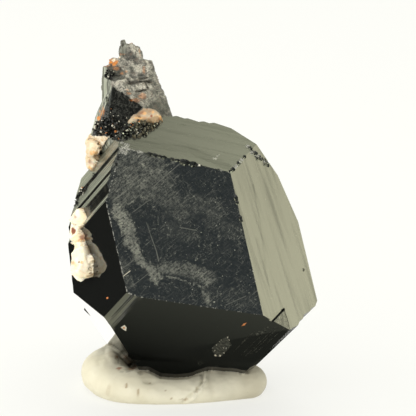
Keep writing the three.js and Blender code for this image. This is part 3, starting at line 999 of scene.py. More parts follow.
# %% Scar and its crumbs
SCAR = [(211.6, 350.2), (213.5, 346), (217, 343.2), (222, 339.5), (228.5, 336.1), (229.3, 341), (231.5, 345),
        (227, 351), (222.2, 355.8), (218.7, 356.9), (214.5, 355)]
SCAR_MIDDLE = (221, 347)
engrave(bm, "underside", SCAR, 0.08, clouded)
for (x0, y0), (x1, y1) in zip(SCAR, SCAR[1:] + SCAR[:1]):
    for _ in range(draws.choice((1, 2, 3))):
        share = draws.random()
        inward = draws.choice((0, 0, 0.3, 0.6)) * draws.random()
        x, y = x0 + (x1 - x0) * share, y0 + (y1 - y0) * share
        x, y = x + (SCAR_MIDDLE[0] - x) * inward, y + (SCAR_MIDDLE[1] - y) * inward
        spots = disc(x, y, draws.uniform(0.2, 0.75), 6, 0.6)
        engrave(bm, "underside", spots, 0.1, draws.choice((pale_speck, pale_speck, crushed)))
print("scar of", len(SCAR), "corners")

# %% [markdown]
# ### Single marks, and the carving
# The last marks are seen one by one: rusty and pale spots, a glassy pit and some scratched spots on the top
# face.

# %% Single marks, and the carving
ROUND_RUBS = ((200.4, 363, 2.4), (153.7, 322, 0.7), (217.7, 327, 0.7))
TOP_MARKS = ((213.6, 158, 1.3), (216, 158.4, 1.1), (217.4, 156, 1.2), (219, 155, 0.8), (211.7, 138.8, 0.7))
RUSTY_MARK = [(241.5, 326), (243.5, 323.6), (246.8, 322.6), (244.6, 325.4)]
PALE_MARK = [(120.6, 327.4), (124.6, 325), (126.6, 327.6), (126, 331), (123.4, 329.6)]
PALE_LINE = [(122.3, 277.4), (123, 276), (130.2, 270.3), (130.6, 271)]
for x, y, radius in ROUND_RUBS:
    engrave(bm, "underside", disc(x, y, radius, 7, 0.4), 0.04, clouded)
engrave(bm, "underside", disc(200.2, 363.4, 1.3), 0.1, polished)
engrave(bm, "underside", RUSTY_MARK, 0.05, rust)
engrave(bm, "underside", PALE_MARK, 0.04, pale_speck)
engrave(bm, "underside", disc(124, 328, 1.1), 0.12, rust)
engrave(bm, "left polished", disc(107.2, 298, 1.2, 6), 0.05, rust)
engrave(bm, "right", disc(303.6, 270, 1.5, 6, 0.4), 0.12, broken)
engrave(bm, "front", PALE_LINE, 0.05, pale_speck)
for x, y, radius in TOP_MARKS:
    engrave(bm, "top", disc(x, y, radius, 6, 0.4), 0.03, crushed)
cutter = mesh_object("cutter", bm, CUTTER_FINISHES)
print("cutter:", len(cutter.data.polygons), "faces")
carve(main, cutter)
print("main crystal carved:", len(main.data.polygons), "faces, finishes:",
      [material.name for material in main.data.materials])
main_tree = tree_of(main)

# %% [markdown]
# ## Bands of the striated left side
# This side shows shaded bands and thin light lines that run its whole length. The light lines are painted
# highlights in the colour. So only their place across the side matters, and it is measured on the carved
# crystal where each band is seen. The side is seen at a grazing angle, where a darker colour alone changes
# little. So the shaded bands also have a lower refractive index: they mirror less.

# %% Where the bands lie
ACROSS_TURN = SIDES["left striated"][0] + 90
# Painted highlights: thin pale lines along the side. Then the shaded bands.
HIGHLIGHT_LINES = [  # a spot of the picture on it, half width in pixels, strength
    ((105, 156.3), 0.35, 0.6), ((98.5, 187.6), 0.5, 1), ((99, 206), 0.4, 0.8), ((109, 148), 0.3, 0.3),
    ((104, 176), 0.3, 0.3),
]
SHADED_BANDS = [
    ((107.6, 159), 1.4, 0.3), ((108.4, 162.5), 0.5, 1), ((97, 181.5), 1.2, 0.3), ((100.1, 190), 0.5, 0.9),
    ((104.4, 188.9), 1.2, 0.35), ((99.6, 197.5), 1.7, 1), ((103, 203), 0.4, 0.5),
]


def across_at(x, y):
    """How far across the left side the surface seen at a spot lies."""
    place, _ = hit([main_tree], x, y)
    return (place - TIP).dot(CRYSTAL @ facing(ACROSS_TURN))


def bands(tree, position, spots):
    """The strongest of several bands along the crystal."""
    made = []
    for (x, y), half_width, strength in spots:
        here = across_at(x, y)
        there = on_face("left striated", x + 0.735 * half_width, y + 0.678 * half_width)
        width = abs((there - on_face("left striated", x, y)).dot(CRYSTAL @ facing(ACROSS_TURN)))
        apart = maths(tree, "ABSOLUTE", maths(tree, "SUBTRACT", position, here))
        made.append(between(tree, apart, width * 1.4, width * 0.6, 0, strength))
    return strongest(tree, made)


print(len(HIGHLIGHT_LINES), "light lines and", len(SHADED_BANDS), "shaded bands")

# %% [markdown]
# ### The finish of the left side
# The position across the side wanders a little with a long noise, so that the bands aren't ruled. One of
# the shaded bands is stained brown.

# %% Finish of the striated left side
BROWN_BANDS = SHADED_BANDS[5:6]
SHADED_IOR = 1.12
tree = left_tree
height = striae(tree, own_axes(tree, CRYSTAL, (1, 1, STRETCH)))
position = own_axes(tree, CRYSTAL @ about("Z", ACROSS_TURN))
position = add(tree, "ShaderNodeSeparateXYZ", {"Vector": position}).outputs["X"]
wander = cloud(tree, own_axes(tree, CRYSTAL, (1, 1, 6)), 0.5, 2)
position = maths(tree, "ADD", position, between(tree, wander, 0, 1, -0.15, 0.15))
shaded = maths(tree, "MAXIMUM", bands(tree, position, SHADED_BANDS), between(tree, height, 0.5, 0.62, 0, 0.4))
veil = blend_colors(tree, shaded, (0.1, 0.105, 0.075), (0.01, 0.008, 0.005))
brown = cloud(tree, own_axes(tree, CRYSTAL, (1, 1, 3)), 0.6, 3, 0.6)
brown = both(tree, bands(tree, position, BROWN_BANDS), between(tree, brown, 0.5, 0.62, 0, 0.8))
color = blend_colors(tree, brown, veil, (0.09, 0.035, 0.015))
# Painted highlight: thin pale lines along the side.
color = blend_colors(tree, bands(tree, position, HIGHLIGHT_LINES), color, (0.33, 0.33, 0.25))
wire(tree, left_shader, Base_Color=color,
     Roughness=between(tree, height, 0.3, 0.7, 0.16, 0.34),
     IOR=between(tree, shaded, 0.2, 1, SCHORL_IOR, SHADED_IOR),
     Normal=relief(tree, height, 0.3, 0.04))
print("left side finished")

# %% [markdown]
# ### Hand over the main crystal
# A mesh in metres is ready for the frame. It rides with the body of its node and replaces the node's own mesh
# in the picture, which is hidden.

# %% The main crystal is ready
to_metres(main)
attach(main, "root")
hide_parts("schorl_crystals")

# %% [markdown]
# ## The shoulder crystal
# A second schorl crystal stands on the left shoulder. Its prism is still seen at the left and in front, but
# its top is broken in blocks and crusted with sandy grains. Six blocks are convex hulls of the solid's own
# corners. The seventh is only here and fills the notch under the overhang at the back. A Boolean would
# leave seams between them. A voxel remesh joins them into one skin instead, and its points are then moved:
# cracks sink, the crust is grainy, and the clean black faces stay smooth.

# %% Blocks of the shoulder crystal
SPIRE_BLOCKS = [                        # corners in millimetres from the tip
    [(-22.6, 11.6, 3.7), (-18.5, 10, 6.4), (-15.9, 10.7, 9.4), (-21.4, 14.1, 12.3), (-13.3, 11.6, 7),
     (-10.2, 14, 6.2), (-12.1, 16.5, 11.2), (-23.2, 17, 9.5), (-25.6, 17, 2.4), (-24.4, 17, 6.8),
     (-25.4, 21, -2), (-22, 27.5, -7), (-14, 29, -7), (-10, 21, -2), (-10.4, 17, 4), (-20, 12, -3),
     (-12, 14, -1)],
    [(-15.8, 10.6, 9.3), (-21.3, 14, 12.2), (-12.1, 16.4, 11.1), (-13.2, 17.5, 13.1), (-21.6, 15.5, 14.2),
     (-15, 16, 13.6), (-13.6, 20.6, 12.6), (-21.6, 20.4, 12.9), (-16.8, 22, 13.1), (-12.4, 23.4, 2),
     (-23.2, 22.6, 2), (-17.4, 26.4, 1), (-20, 14, 5), (-13, 14, 5)],
    [(-21.4, 15.6, 13.8), (-15.2, 15.4, 13.2), (-12.9, 17.2, 12.6), (-13.9, 18, 14.6), (-14.2, 18, 16.2),
     (-15.6, 18.4, 16.5), (-21.9, 17.6, 16), (-21.6, 18.2, 16.9), (-14.8, 20.6, 15.7), (-21.2, 20.2, 16.2),
     (-18.6, 21.4, 15.4), (-13.4, 22.4, 7), (-22.4, 21.8, 7), (-18.4, 24.2, 6), (-20, 15, 8), (-14, 15, 8)],
    [(-20.6, 17.8, 15.8), (-16, 17.6, 15.8), (-15.8, 19.2, 17), (-16.7, 19.4, 19.1), (-18.7, 19.1, 19.5),
     (-20.1, 19.2, 18.2), (-16.6, 20.4, 18), (-19.4, 20.9, 18.1), (-21, 20.6, 12), (-15, 21.6, 12),
     (-18.6, 22.8, 10), (-20, 17, 12), (-15, 17, 12)],
    [(-20.2, 19.4, 17), (-18.8, 19.2, 17), (-20.1, 19.8, 19.6), (-18.9, 19.6, 19.5), (-19.3, 20.2, 19.8),
     (-20.3, 20.6, 15), (-18.4, 21.2, 15)],
    [(-23.3, 17.4, 15.4), (-22, 16, 15.4), (-23.4, 17.2, 9), (-21.6, 14.4, 9.6), (-22.4, 19.6, 14.6),
     (-23.6, 21, 3), (-21.4, 18, 15), (-21, 17.4, 8)],
    [(-12.5, 23.3, 2.2), (-23.1, 22.6, 2.2), (-17.4, 26.2, 1.4), (-21.8, 27.3, -6.6), (-14.2, 28.8, -6.6),
     (-16, 20, 3), (-11.4, 21, -2.4), (-24.6, 21.4, -2.4)],
]
SPIRE_VOXEL = 0.16

bm = bmesh.new()
for corners in SPIRE_BLOCKS:
    points = [bm.verts.new(TIP + Vector(corner)) for corner in corners]
    made = bmesh.ops.convex_hull(bm, input=points)
    bmesh.ops.delete(bm, geom=verts_among(made["geom_interior"]), context="VERTS")
bmesh.ops.recalc_face_normals(bm, faces=bm.faces)
spire = remeshed(mesh_object("schorl_shoulder", bm, []), SPIRE_VOXEL)
print("shoulder crystal:", len(spire.data.polygons), "faces")

# %% [markdown]
# ### Where the crust, the cracks and the stains are
# The zones are outlines seen in the picture. A point of the skin that faces the camera takes the zone that
# it lies in, and the others follow a simple rule: crust on what faces up, and clean striated sides below.
# Python reads them once and stores the zones as a colour attribute, which stays on the skin.

# %% Zones of the shoulder crystal
CLEAN = [(113, 86.5), (128, 96.5), (143, 107.3), (136, 113), (130, 118), (126, 123), (119, 130), (113, 135),
         (92, 136), (99, 121), (106, 105)]
PRISM_SIDE = [(101, 63), (106, 65), (109, 76), (112, 86), (107, 104), (104, 113), (98, 124), (91, 136),
              (88, 134), (95, 118), (99, 100)]
CREAM = [(84, 135.5), (96, 136), (111, 136), (101, 148), (96.5, 156), (93.5, 164), (90, 177), (82, 178)]
SUNK = [(112, 134), (122, 136), (119, 150), (100, 180), (90, 178), (93.5, 164), (96.5, 156), (101, 149),
        (107, 140)]
DARK_SAND = [(106.5, 67), (118, 66), (127, 72), (124, 80), (113, 81), (107, 79)]
DARK_TOP = [(119, 40), (126, 40), (127, 48), (124, 57), (117, 58), (119, 50)]
DARK_CRUST = [(143, 108), (152, 103.5), (160, 97), (168, 98), (176, 124), (160, 124), (158, 113),
              (150, 108.5)]
LIGHT_CRUST = [
    [(129, 43), (137, 44), (143, 52), (142, 58), (133, 56)],
    [(131, 63), (142, 64), (143, 72), (132, 72)],
    [(146, 60), (151, 63), (155, 78), (147, 80)],
    [(136, 84), (146, 84), (146, 89), (136, 88)],
    [(113, 82), (124, 80), (130, 92), (121, 91)],
]
CRACKS = [  # from, to, half width in pixels, depth
    ((130, 83), (150, 81.6), 0.95, 0.9), ((139, 79), (147, 77.6), 0.8, 0.7),
    ((136, 91.2), (145, 90), 0.9, 0.8),
    ((145.5, 84.5), (148, 88), 1.3, 0.7), ((107, 97), (107.6, 103), 0.8, 0.5),
    ((125, 78), (131, 82), 0.8, 0.4),
    ((108, 74), (120, 77), 0.9, 0.35), ((126, 58), (131, 60), 0.8, 0.3), ((123, 44), (124, 57), 0.7, 0.35),
]
RUST_BLOTS = [(113.5, 62.5, 4.2, 3.6), (101, 113, 1, 2.6), (99, 118.5, 1.3, 2.2), (97, 124, 0.8, 2.6)]
FAINT_RUST = [(116.5, 68, 3, 1.6), (109, 66, 3, 1.6), (122, 73.5, 1.5, 1.5), (126.5, 71.5, 1.5, 1),
              (144, 70, 1, 4), (140.5, 53, 1, 4), (132.5, 99.5, 3, 1), (103, 111, 1.6, 4), (127, 90, 2, 1.2),
              (122, 54.5, 3, 1), (129.5, 93.5, 2.5, 1), (137, 100, 3, 2), (143, 96, 3, 3)]
WHITE_BLOTS = [(116, 56.5, 3.5, 2), (114, 60, 1.6, 1.6)]
print(len(CRACKS), "cracks and", len(RUST_BLOTS) + len(FAINT_RUST) + len(WHITE_BLOTS), "blots listed")


# %% [markdown]
# ### In an outline, near a line, in a blot
# Three small questions decide where a point belongs. A spot is inside an outline when a line from it to the
# side crosses the outline an odd number of times. Blots are ovals whose border wobbles with noise.

# %% Questions about a spot
def inside(outline_spots, x, y):
    """Whether a spot lies inside an outline."""
    odd = False
    for (ax, ay), (bx, by) in zip(outline_spots, outline_spots[1:] + outline_spots[:1]):
        if (ay > y) != (by > y) and x < ax + (bx - ax) * (y - ay) / (by - ay):
            odd = not odd
    return odd


def near_line(start, end, x, y):
    """Distance of a spot from the line between two others."""
    start, end, spot = Vector(start), Vector(end), Vector((x, y))
    _, share = geometry.intersect_point_line(spot, start, end)
    foot = start.lerp(end, min(max(share, 0), 1))
    return (spot - foot.to_2d()).length


def far_from(start, end, x, y, margin=2):
    """A quick test for a spot that can't be near the line between two others."""
    (ax, ay), (bx, by) = start, end
    beside = x < min(ax, bx) - margin or x > max(ax, bx) + margin
    return beside or y < min(ay, by) - margin or y > max(ay, by) + margin


def blot(blots, x, y, wobble):
    """How strongly a spot lies in one of several oval blots."""
    reach = min(math.hypot((x - bx) / across, (y - by) / high) for bx, by, across, high in blots)
    return min(max((1.2 + 0.5 * wobble - reach) / 0.4, 0), 1)


print("a blot's own middle counts", blot(WHITE_BLOTS, *WHITE_BLOTS[0][:2], 0))


# %% [markdown]
# ### The zone of a point
# Each point gets four values: how crusted, how rusty and how light it is, and how strongly its lines show.
# The borders between zones wander with noise, as borders of a crust do.

# %% Zone of a point
def spire_zone(vert):
    """Crust, rust, lightness and lines of a point of the shoulder crystal."""
    place, normal = vert.co, vert.normal
    wobble = noise.noise(place * 1.3)
    lightness = 0.5 + 0.5 * noise.noise(place * 0.8 + Vector((9, 0, 0)))
    if (eye - place).normalized().dot(normal) > 0:
        x, y = in_photo(place)
        x, y = x + 1.1 * wobble, y + 1.1 * noise.noise(place * 1.3 + Vector((0, 7, 0)))
        wobble += 1.2 * noise.noise(place * 4)
        rusty = max(blot(RUST_BLOTS, x, y, wobble), 0.35 * blot(FAINT_RUST, x, y, wobble))
        white = blot(WHITE_BLOTS, x, y, wobble)
        if white > 0.5:
            return 1, 0, 2, 0
        # The sunk face gets the olive lines of the main crystal's striated side: a painted reflection.
        if inside(SUNK, x, y):
            return 0, 0, 0.2, 1
        if inside(CREAM, x, y):
            return 1, 0.4 * max(0, wobble), 2, 0
        if inside(CLEAN, x, y):
            return 0, rusty, 0, 0
        if inside(PRISM_SIDE, x, y):
            return 0.1, rusty, 0.3, 1
        if inside(DARK_TOP, x, y):
            return 0.8, rusty, 0.2, 0.5
        if inside(DARK_CRUST, x, y):
            return 0.85, rusty, 0.05 + 0.3 * lightness, 0
        if inside(DARK_SAND, x, y):
            return 1, rusty, 0.02 + 0.2 * lightness, 0
        if any(inside(patch, x, y) for patch in LIGHT_CRUST):
            return 1, rusty, 1 + 0.3 * lightness, 0
        return 1, rusty, 0.25 + 0.5 * lightness, 0
    upper = min(max((place.z - TIP.z - 8) / 3 + wobble, 0), 1)
    crust = max(upper, min(max(normal.z * 3 - 0.8, 0), 1))
    rusty = min(max(4 * noise.noise(place * 0.45 + Vector((3, 3, 3))) - 0.9, 0), 1) * crust
    return crust, rusty, 0.2 + 0.5 * lightness, 0.4 * (1 - crust)


zones = [spire_zone(vert) for vert in spire.data.vertices]
print("zones found for", len(zones), "points")


# %% [markdown]
# ### Grains, cracks and the sunk face
# A crust shows on the outline too, where relief in the material would leave it smooth. So the points
# themselves move. Broken grains come from noise that rises in flat treads, and cracks sink away from the
# viewer. The face at the foot, which the main crystal covers, is pushed back as well.

# %% Move the skin and store its zones
CRACK_EDGE = 1.3                        # how far a crack reaches, in half widths
FACE_SUNK = 0.9


def step_noise(place, size, steps=4):
    """Noise that rises in flat treads, as broken grains do."""
    value = noise.noise(place / size) * steps
    tread = math.floor(value)
    return (tread + min(max((value - tread - 0.7) / 0.3, 0), 1)) / steps


moves = []
for vert, (crust, rusty, _, _) in zip(spire.data.vertices, zones):
    place = vert.co
    height = crust * (0.2 * rough(place, 1.1) + 0.34 * step_noise(place, 1.3)) + 0.02 * rough(place, 4)
    height += 0.2 * rusty * crust
    move = vert.normal * height
    if (eye - place).dot(vert.normal) > 0:
        x, y = in_photo(place)
        x, y = x + rough(place, 1.5), y + 0.5 * rough(place, 0.8)
        if inside(SUNK, *in_photo(place)):
            move += AHEAD * FACE_SUNK
        for start, end, half_width, depth in CRACKS:
            if far_from(start, end, x, y):
                continue
            apart = near_line(start, end, x, y) / half_width
            if apart < CRACK_EDGE:
                move += AHEAD * depth * min(1, (CRACK_EDGE - apart) * 2)
    moves.append(move)
for vert, move in zip(spire.data.vertices, moves):
    vert.co += move
layer = spire.data.attributes.new("zones", "FLOAT_COLOR", "POINT")
for cell, zone in zip(layer.data, zones):
    cell.color = zone
print("zones stored for", len(zones), "points")

# %% [markdown]
# ### The finish of the shoulder crystal
# Crust and bare faces could be two materials, but then the border between them would follow the squares of
# the skin. One material reads the stored zones instead and blends sand, cream, rust, black and the olive of
# the lines by them. On the sunk face the olive lines are a painted reflection of the main crystal's striated
# side.

# %% Finish of the shoulder crystal
crusted, tree, shader = schorl("schorl_crusted", 0.14)
zone = stored_parts(tree, "zones")
line_share = add(tree, "ShaderNodeAttribute", attribute_name="zones").outputs["Alpha"]
flat = own_axes(tree, Matrix.Identity(3))
grains = cloud(tree, flat, 1.5, 6, 0.75, 1)
fine = cloud(tree, flat, 6, 3, 0.65)
lines = cloud(tree, own_axes(tree, about("Y", -2), (1, 1, 24)), 1.5, 4, 0.6)
patchy = between(tree, cloud(tree, flat, 0.55, 4, 0.6, 0.4), 0.38, 0.62, 0.3, 1.5)
light = both(tree, both(tree, zone["Blue"], between(tree, grains, 0.4, 0.6, 0.12, 1.35)), patchy)
sand = blend_colors(tree, light, (0.03, 0.03, 0.025), (0.62, 0.58, 0.47))
brown = between(tree, cloud(tree, flat, 1.1, 4, 0.7, 0.5), 0.52, 0.66, 0, 0.5)
sand = blend_colors(tree, brown, sand, (0.2, 0.13, 0.085))
covered = maths(tree, "MULTIPLY", zone["Red"], between(tree, fine, 0.3, 0.55, 0.35, 1), clamp=True)
lines_and_painted_reflection = both(tree, line_share, between(tree, lines, 0.42, 0.56, 0.12, 1))
bare = blend_colors(tree, between(tree, grains, 0.47, 0.66, 0, 0.5), BLACK, (0.12, 0.12, 0.1))
color = blend_colors(tree, covered, bare, sand)
# Pale olive lines. On the sunk face they are a painted reflection of the striated side.
color = blend_colors(tree, lines_and_painted_reflection, color, (0.4, 0.41, 0.32))
cream = blend_colors(tree, between(tree, grains, 0.42, 0.6), (0.95, 0.88, 0.7), (0.8, 0.55, 0.28))
color = blend_colors(tree, between(tree, zone["Blue"], 1.4, 1.8), color, cream)
rusty = blend_colors(tree, cloud(tree, flat, 3, 3), (0.6, 0.13, 0.004), (1, 0.36, 0.012))
spotty = both(tree, zone["Green"], between(tree, grains, 0.4, 0.55, 0.25, 1))
color = blend_colors(tree, spotty, color, rusty)
height = both(tree, mixed_heights(tree, grains, 0.7, fine), covered)
wire(tree, shader, Base_Color=color,
     Roughness=between(tree, covered, 0, 1, 0.13, 0.62),
     Normal=relief(tree, lines, 0.25, 0.05, relief(tree, height, 0.7, 0.3)))
spire.data.materials.append(crusted)
smooth_shaded(spire)
print("shoulder crystal finished")

# %% [markdown]
# ## The druse
# On the ledge between the two crystals grow hundreds of tiny schorl crystals. They glitter because each
# small face mirrors something else. A particle system could strew them, but nothing would be left to
# export. So all of them are one mesh, and each is a hexagonal cone of eight faces. Their places are
# outlines seen in the picture.

# %% Small crystals on the ledge
DRUSE_ZONES = [  # outline in the picture, number, sizes
    ([(94, 134), (98, 122), (108, 118), (118, 121), (126, 125), (134, 118), (146, 121), (160, 124),
      (152, 132),
      (144, 137), (131, 138), (120, 134), (113, 137), (104, 135)], 620, (0.13, 0.32)),
    ([(118, 121), (126, 123), (131, 117), (150, 125), (150, 132), (128, 133)], 160, (0.12, 0.26)),
    ([(101, 124), (107, 108), (113, 98), (126, 112), (134, 114), (122, 122)], 110, (0.05, 0.12)),
    ([(113, 135), (122, 133), (128, 139), (121, 142), (112, 139)], 60, (0.14, 0.3)),
    ([(95.5, 172), (93, 180), (91.5, 181), (93.5, 173)], 26, (0.06, 0.12)),
    ([(88, 185), (88.5, 188), (84, 194), (79, 196), (79, 193), (83, 187)], 90, (0.07, 0.16)),
    ([(80, 194), (78, 201), (79, 206), (72, 206), (74, 200), (77, 196)], 70, (0.07, 0.16)),
    ([(107, 70), (114, 72), (112, 80), (106, 78)], 30, (0.14, 0.26)),
]


def druse_grain(bm, place, way, width, length, material):
    """A six-sided crystal that stands on a place, with a blunt tip."""
    grain = bmesh.ops.create_cone(bm, cap_ends=True, segments=6, radius1=width, depth=length,
                                  radius2=width * draws.uniform(0.25, 0.8))["verts"]
    turn = way.to_track_quat("Z", "Y").to_matrix().to_4x4() @ Matrix.Rotation(draws.uniform(0, 6.28), 4, "Z")
    bmesh.ops.transform(bm, matrix=Matrix.Translation(place + way * length * 0.2) @ turn, verts=grain)
    set_finish(grain, DRUSE_FINISHES, material)


def spot_in(outline_spots):
    """A random spot inside an outline."""
    xs, ys = zip(*outline_spots)
    while True:
        x, y = draws.uniform(min(xs), max(xs)), draws.uniform(min(ys), max(ys))
        if inside(outline_spots, x, y):
            return x, y


print("places for", sum(zone[1] for zone in DRUSE_ZONES), "small crystals")

# %% [markdown]
# ### Grow the druse
# Most grains are black, a few rusty or pale, and in the right part every second one is dusty. Each stands
# on the skin that its ray meets, and leans at random from the skin's own direction.

# %% Grow the druse
RUSTY_SHARE = 0.012
PALE_SHARE = 0.05
DUSTY_SHARE = 0.5
DUSTY_FROM = 132                        # how far right in the picture the dust begins
druse_black, tree, shader = schorl("schorl_druse", 0.1)
axes = own_axes(tree, Matrix.Identity(3))
dusty = between(tree, cloud(tree, axes, 1.2, 3), 0.55, 0.7, 0, 0.5)
wire(tree, shader,
     Base_Color=blend_colors(tree, dusty, BLACK, (0.16, 0.155, 0.13)),
     Roughness=between(tree, cloud(tree, axes, 2, 2), 0.3, 0.7, 0.05, 0.2))
druse_olive, tree, shader = finish("schorl_druse_dusty", (0.09, 0.078, 0.045), 0.35, IOR=SCHORL_IOR)
DRUSE_FINISHES = [druse_black, rust, pale_speck, druse_olive]
spire_tree = tree_of(spire)
bm = bmesh.new()
for spots, count, (small, large) in DRUSE_ZONES:
    for _ in range(count):
        place, normal = hit([main_tree, spire_tree], *spot_in(spots))
        if place is None:
            continue
        way = normal + Vector((draws.gauss(0, 0.5), draws.gauss(0, 0.5) - 0.2, draws.gauss(0, 0.5) + 0.3))
        width = draws.uniform(small, large)
        material = druse_black
        if draws.random() < RUSTY_SHARE:
            material = rust
        elif draws.random() < PALE_SHARE:
            material = pale_speck
        if in_photo(place)[0] > DUSTY_FROM and draws.random() < DUSTY_SHARE:
            material = druse_olive
        druse_grain(bm, place, way.normalized(), width, width * draws.uniform(2, 4), material)
druse = mesh_object("schorl_druse", bm, DRUSE_FINISHES)
to_metres(spire)
to_metres(druse)
for piece in (spire, druse):
    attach(piece, "root")
    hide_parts("schorl_crystals")

# %% [markdown]
# ## The feldspar
# Feldspar grows in blocky grains with flat cleavage faces, white to cream, and stained orange where
# iron-bearing water ran over it. Each piece starts from its solid. A remesh gives it an even skin, its points
# move in treads as cleavage steps do, and those that face the crystal are pulled into it, because the real
# one has grown there. The first helpers pull the skin to the crystal and store the stains and a painted
# shade. The putty will use them too.

# %% Helpers for grown and pressed pieces
crystal_copy = copy_of_node("schorl_crystals", "crystal_copy", [])
crystal_tree = tree_of(crystal_copy)
bpy.data.objects.remove(crystal_copy)


def cling(made, reach, sink=0.15):
    """Pulls the points that lie close to the crystal a little into it."""
    moved = 0
    for vert in made.data.vertices:
        place, normal, _, distance = crystal_tree.find_nearest(vert.co, reach)
        if place is not None and vert.normal.dot(normal) < 0.2:
            vert.co = place - normal * sink
            moved += 1
    print(made.name, moved, "points cling to the crystal")


def paint(made, blots, everywhere):
    """Stores two kinds of stain and a painted shade as the red, green and blue of an attribute."""
    layer = made.data.attributes.new("stains_and_shade", "FLOAT_COLOR", "POINT")
    for vert, cell in zip(made.data.vertices, layer.data):
        values = list(everywhere(vert.co, vert.normal))
        if (eye - vert.co).dot(vert.normal) > 0:
            x, y = in_photo(vert.co)
            wobble = noise.noise(vert.co * 1.6)
            for kind, ovals in enumerate(blots):
                if ovals:
                    values[kind] = max(values[kind], blot(ovals, x, y, wobble))
        cell.color = (*values, 1)


print("the crystal's surface is ready to cling to")


# %% [markdown]
# ### The finish of the feldspar
# Light goes a little way into feldspar, so it gets a milky subsurface share. Slow clouds blend its two tones,
# stretched noise draws the veins, and the stored stains and painted shade lie on top.

# %% Finish of the feldspar
def grown_grain(name, light, dark, vein, vein_share):
    """A feldspar with milky clouds, rusty veins, the piece's own stains and its painted shade."""
    material, tree, shader = finish(name, light, 0.45, IOR=1.53)
    stain_and_shade = stored_parts(tree, "stains_and_shade")
    turn = about("X", 25) @ about("Y", 30)
    axes = own_axes(tree, turn)
    milky = cloud(tree, axes, 0.5, 3, 0.5)
    veins = cloud(tree, own_axes(tree, turn, (3, 1, 1)), 0.8, 5, 0.6, 0.5)
    grit = cloud(tree, axes, 4, 3, 0.6)
    color = blend_colors(tree, between(tree, milky, 0.35, 0.65), light, dark)
    color = blend_colors(tree, between(tree, veins, 0.56, 0.75, 0, vein_share), color, vein)
    color = blend_colors(tree, between(tree, grit, 0.54, 0.68, 0, vein_share * 0.45), color, vein)
    orange = both(tree, stain_and_shade["Red"], between(tree, grit, 0.35, 0.6, 0.35, 0.95))
    color = blend_colors(tree, orange, color, (0.78, 0.42, 0.14))
    color = blend_colors(tree, stain_and_shade["Green"], color, (0.26, 0.08, 0.035))
    # Painted shade: the stored blue darkens the feldspar towards brown.
    color = blend_colors(tree, stain_and_shade["Blue"], color, (0.4, 0.27, 0.14))
    wire(tree, shader, Base_Color=color,
         Roughness=between(tree, grit, 0.35, 0.65, 0.3, 0.6),
         Normal=relief(tree, grit, 0.3, 0.08, relief(tree, veins, 0.3, 0.15)))
    shader.inputs["Subsurface Weight"].default_value = 0.25
    shader.inputs["Subsurface Radius"].default_value = (0.0012, 0.0008, 0.0005)
    shader.inputs["Subsurface Scale"].default_value = 1
    return material


feldspar = grown_grain("feldspar_cream", (1, 0.93, 0.74), (0.98, 0.81, 0.54), (0.85, 0.52, 0.24), 0.4)
tan_grain = grown_grain("feldspar_tan", (0.85, 0.75, 0.55), (0.7, 0.53, 0.33), (0.6, 0.36, 0.14), 0.8)
stained = grown_grain("feldspar_stained", (0.5, 0.42, 0.29), (0.34, 0.23, 0.14), (0.45, 0.2, 0.06), 0.8)
print("made", feldspar.name, tan_grain.name, "and", stained.name)

# %% [markdown]
# ### Stains of the feldspar
# Rust runs down from cracks and gathers where water stays. The stains that are seen are ovals in the picture:
# orange ones and dark rusty ones for each piece, with ovals of painted shade as a third list. Noise gives the
# stains on the sides that nobody has seen, and the side that faces the crystal gets painted shade.

# %% Stains and painted shade of the feldspar
FLANK_BLOTS = [
    [(86, 239, 6, 1.6), (73, 263, 2, 2), (82, 262.5, 1.4, 1.4), (90, 226, 1, 5), (79, 241, 7, 1.2)],
    [(73.5, 231, 2, 4.5), (88, 239.5, 3, 0.9), (72, 277, 1.6, 1.6), (79, 262.3, 0.8, 0.8)],
    # painted shade on the flank's side next to the crystal
    [(97, 258, 4, 10), (93, 277, 6, 3)],
]
SHOULDER_BLOTS = [
    [(94, 153, 4, 2.4), (101, 146, 2, 4), (90, 170, 2, 4)], [(96, 155.5, 2, 0.8)], []]
# The saddle's third list is a painted shadow along its foot.
SADDLE_BLOTS = [
    [(144, 113, 2, 1.8), (153, 112, 1.2, 1.8), (161, 118, 2, 2.6), (138, 118, 5, 0.8)],
    [(151.5, 116, 1.2, 1.6), (147, 109, 1, 0.6), (159, 119, 0.7, 0.7)], [(150, 121.5, 12, 1.6)]]


def rust_and_shade_by_noise(place, normal):
    """Rust and dark rust in cloudy spots of noise, and painted shade on the side that faces the crystal,
    darker nearer to it.
    """
    near, out, _, distance = crystal_tree.find_nearest(place, 3)
    # Painted shade on the side that faces the crystal.
    shade = 0.8 * min(1, 1.4 - distance / 2) if near is not None and normal.dot(out) < -0.25 else 0
    return (min(max(3 * noise.noise(place * 0.35) - 0.9, 0), 0.5),
            min(max(6 * noise.noise(place * 0.5 + Vector((5, 0, 0))) - 3.2, 0), 0.8), shade)


print(sum(len(ovals) for ovals in FLANK_BLOTS + SHOULDER_BLOTS + SADDLE_BLOTS), "stains listed")

# %% [markdown]
# ### Grains and their cleavage
# Feldspar splits along flat planes. For each grain some planes are drawn at random round an oval of its
# size, and what sticks out beyond a plane is pressed onto it. Noise alone would give round lumps, as of
# dough.

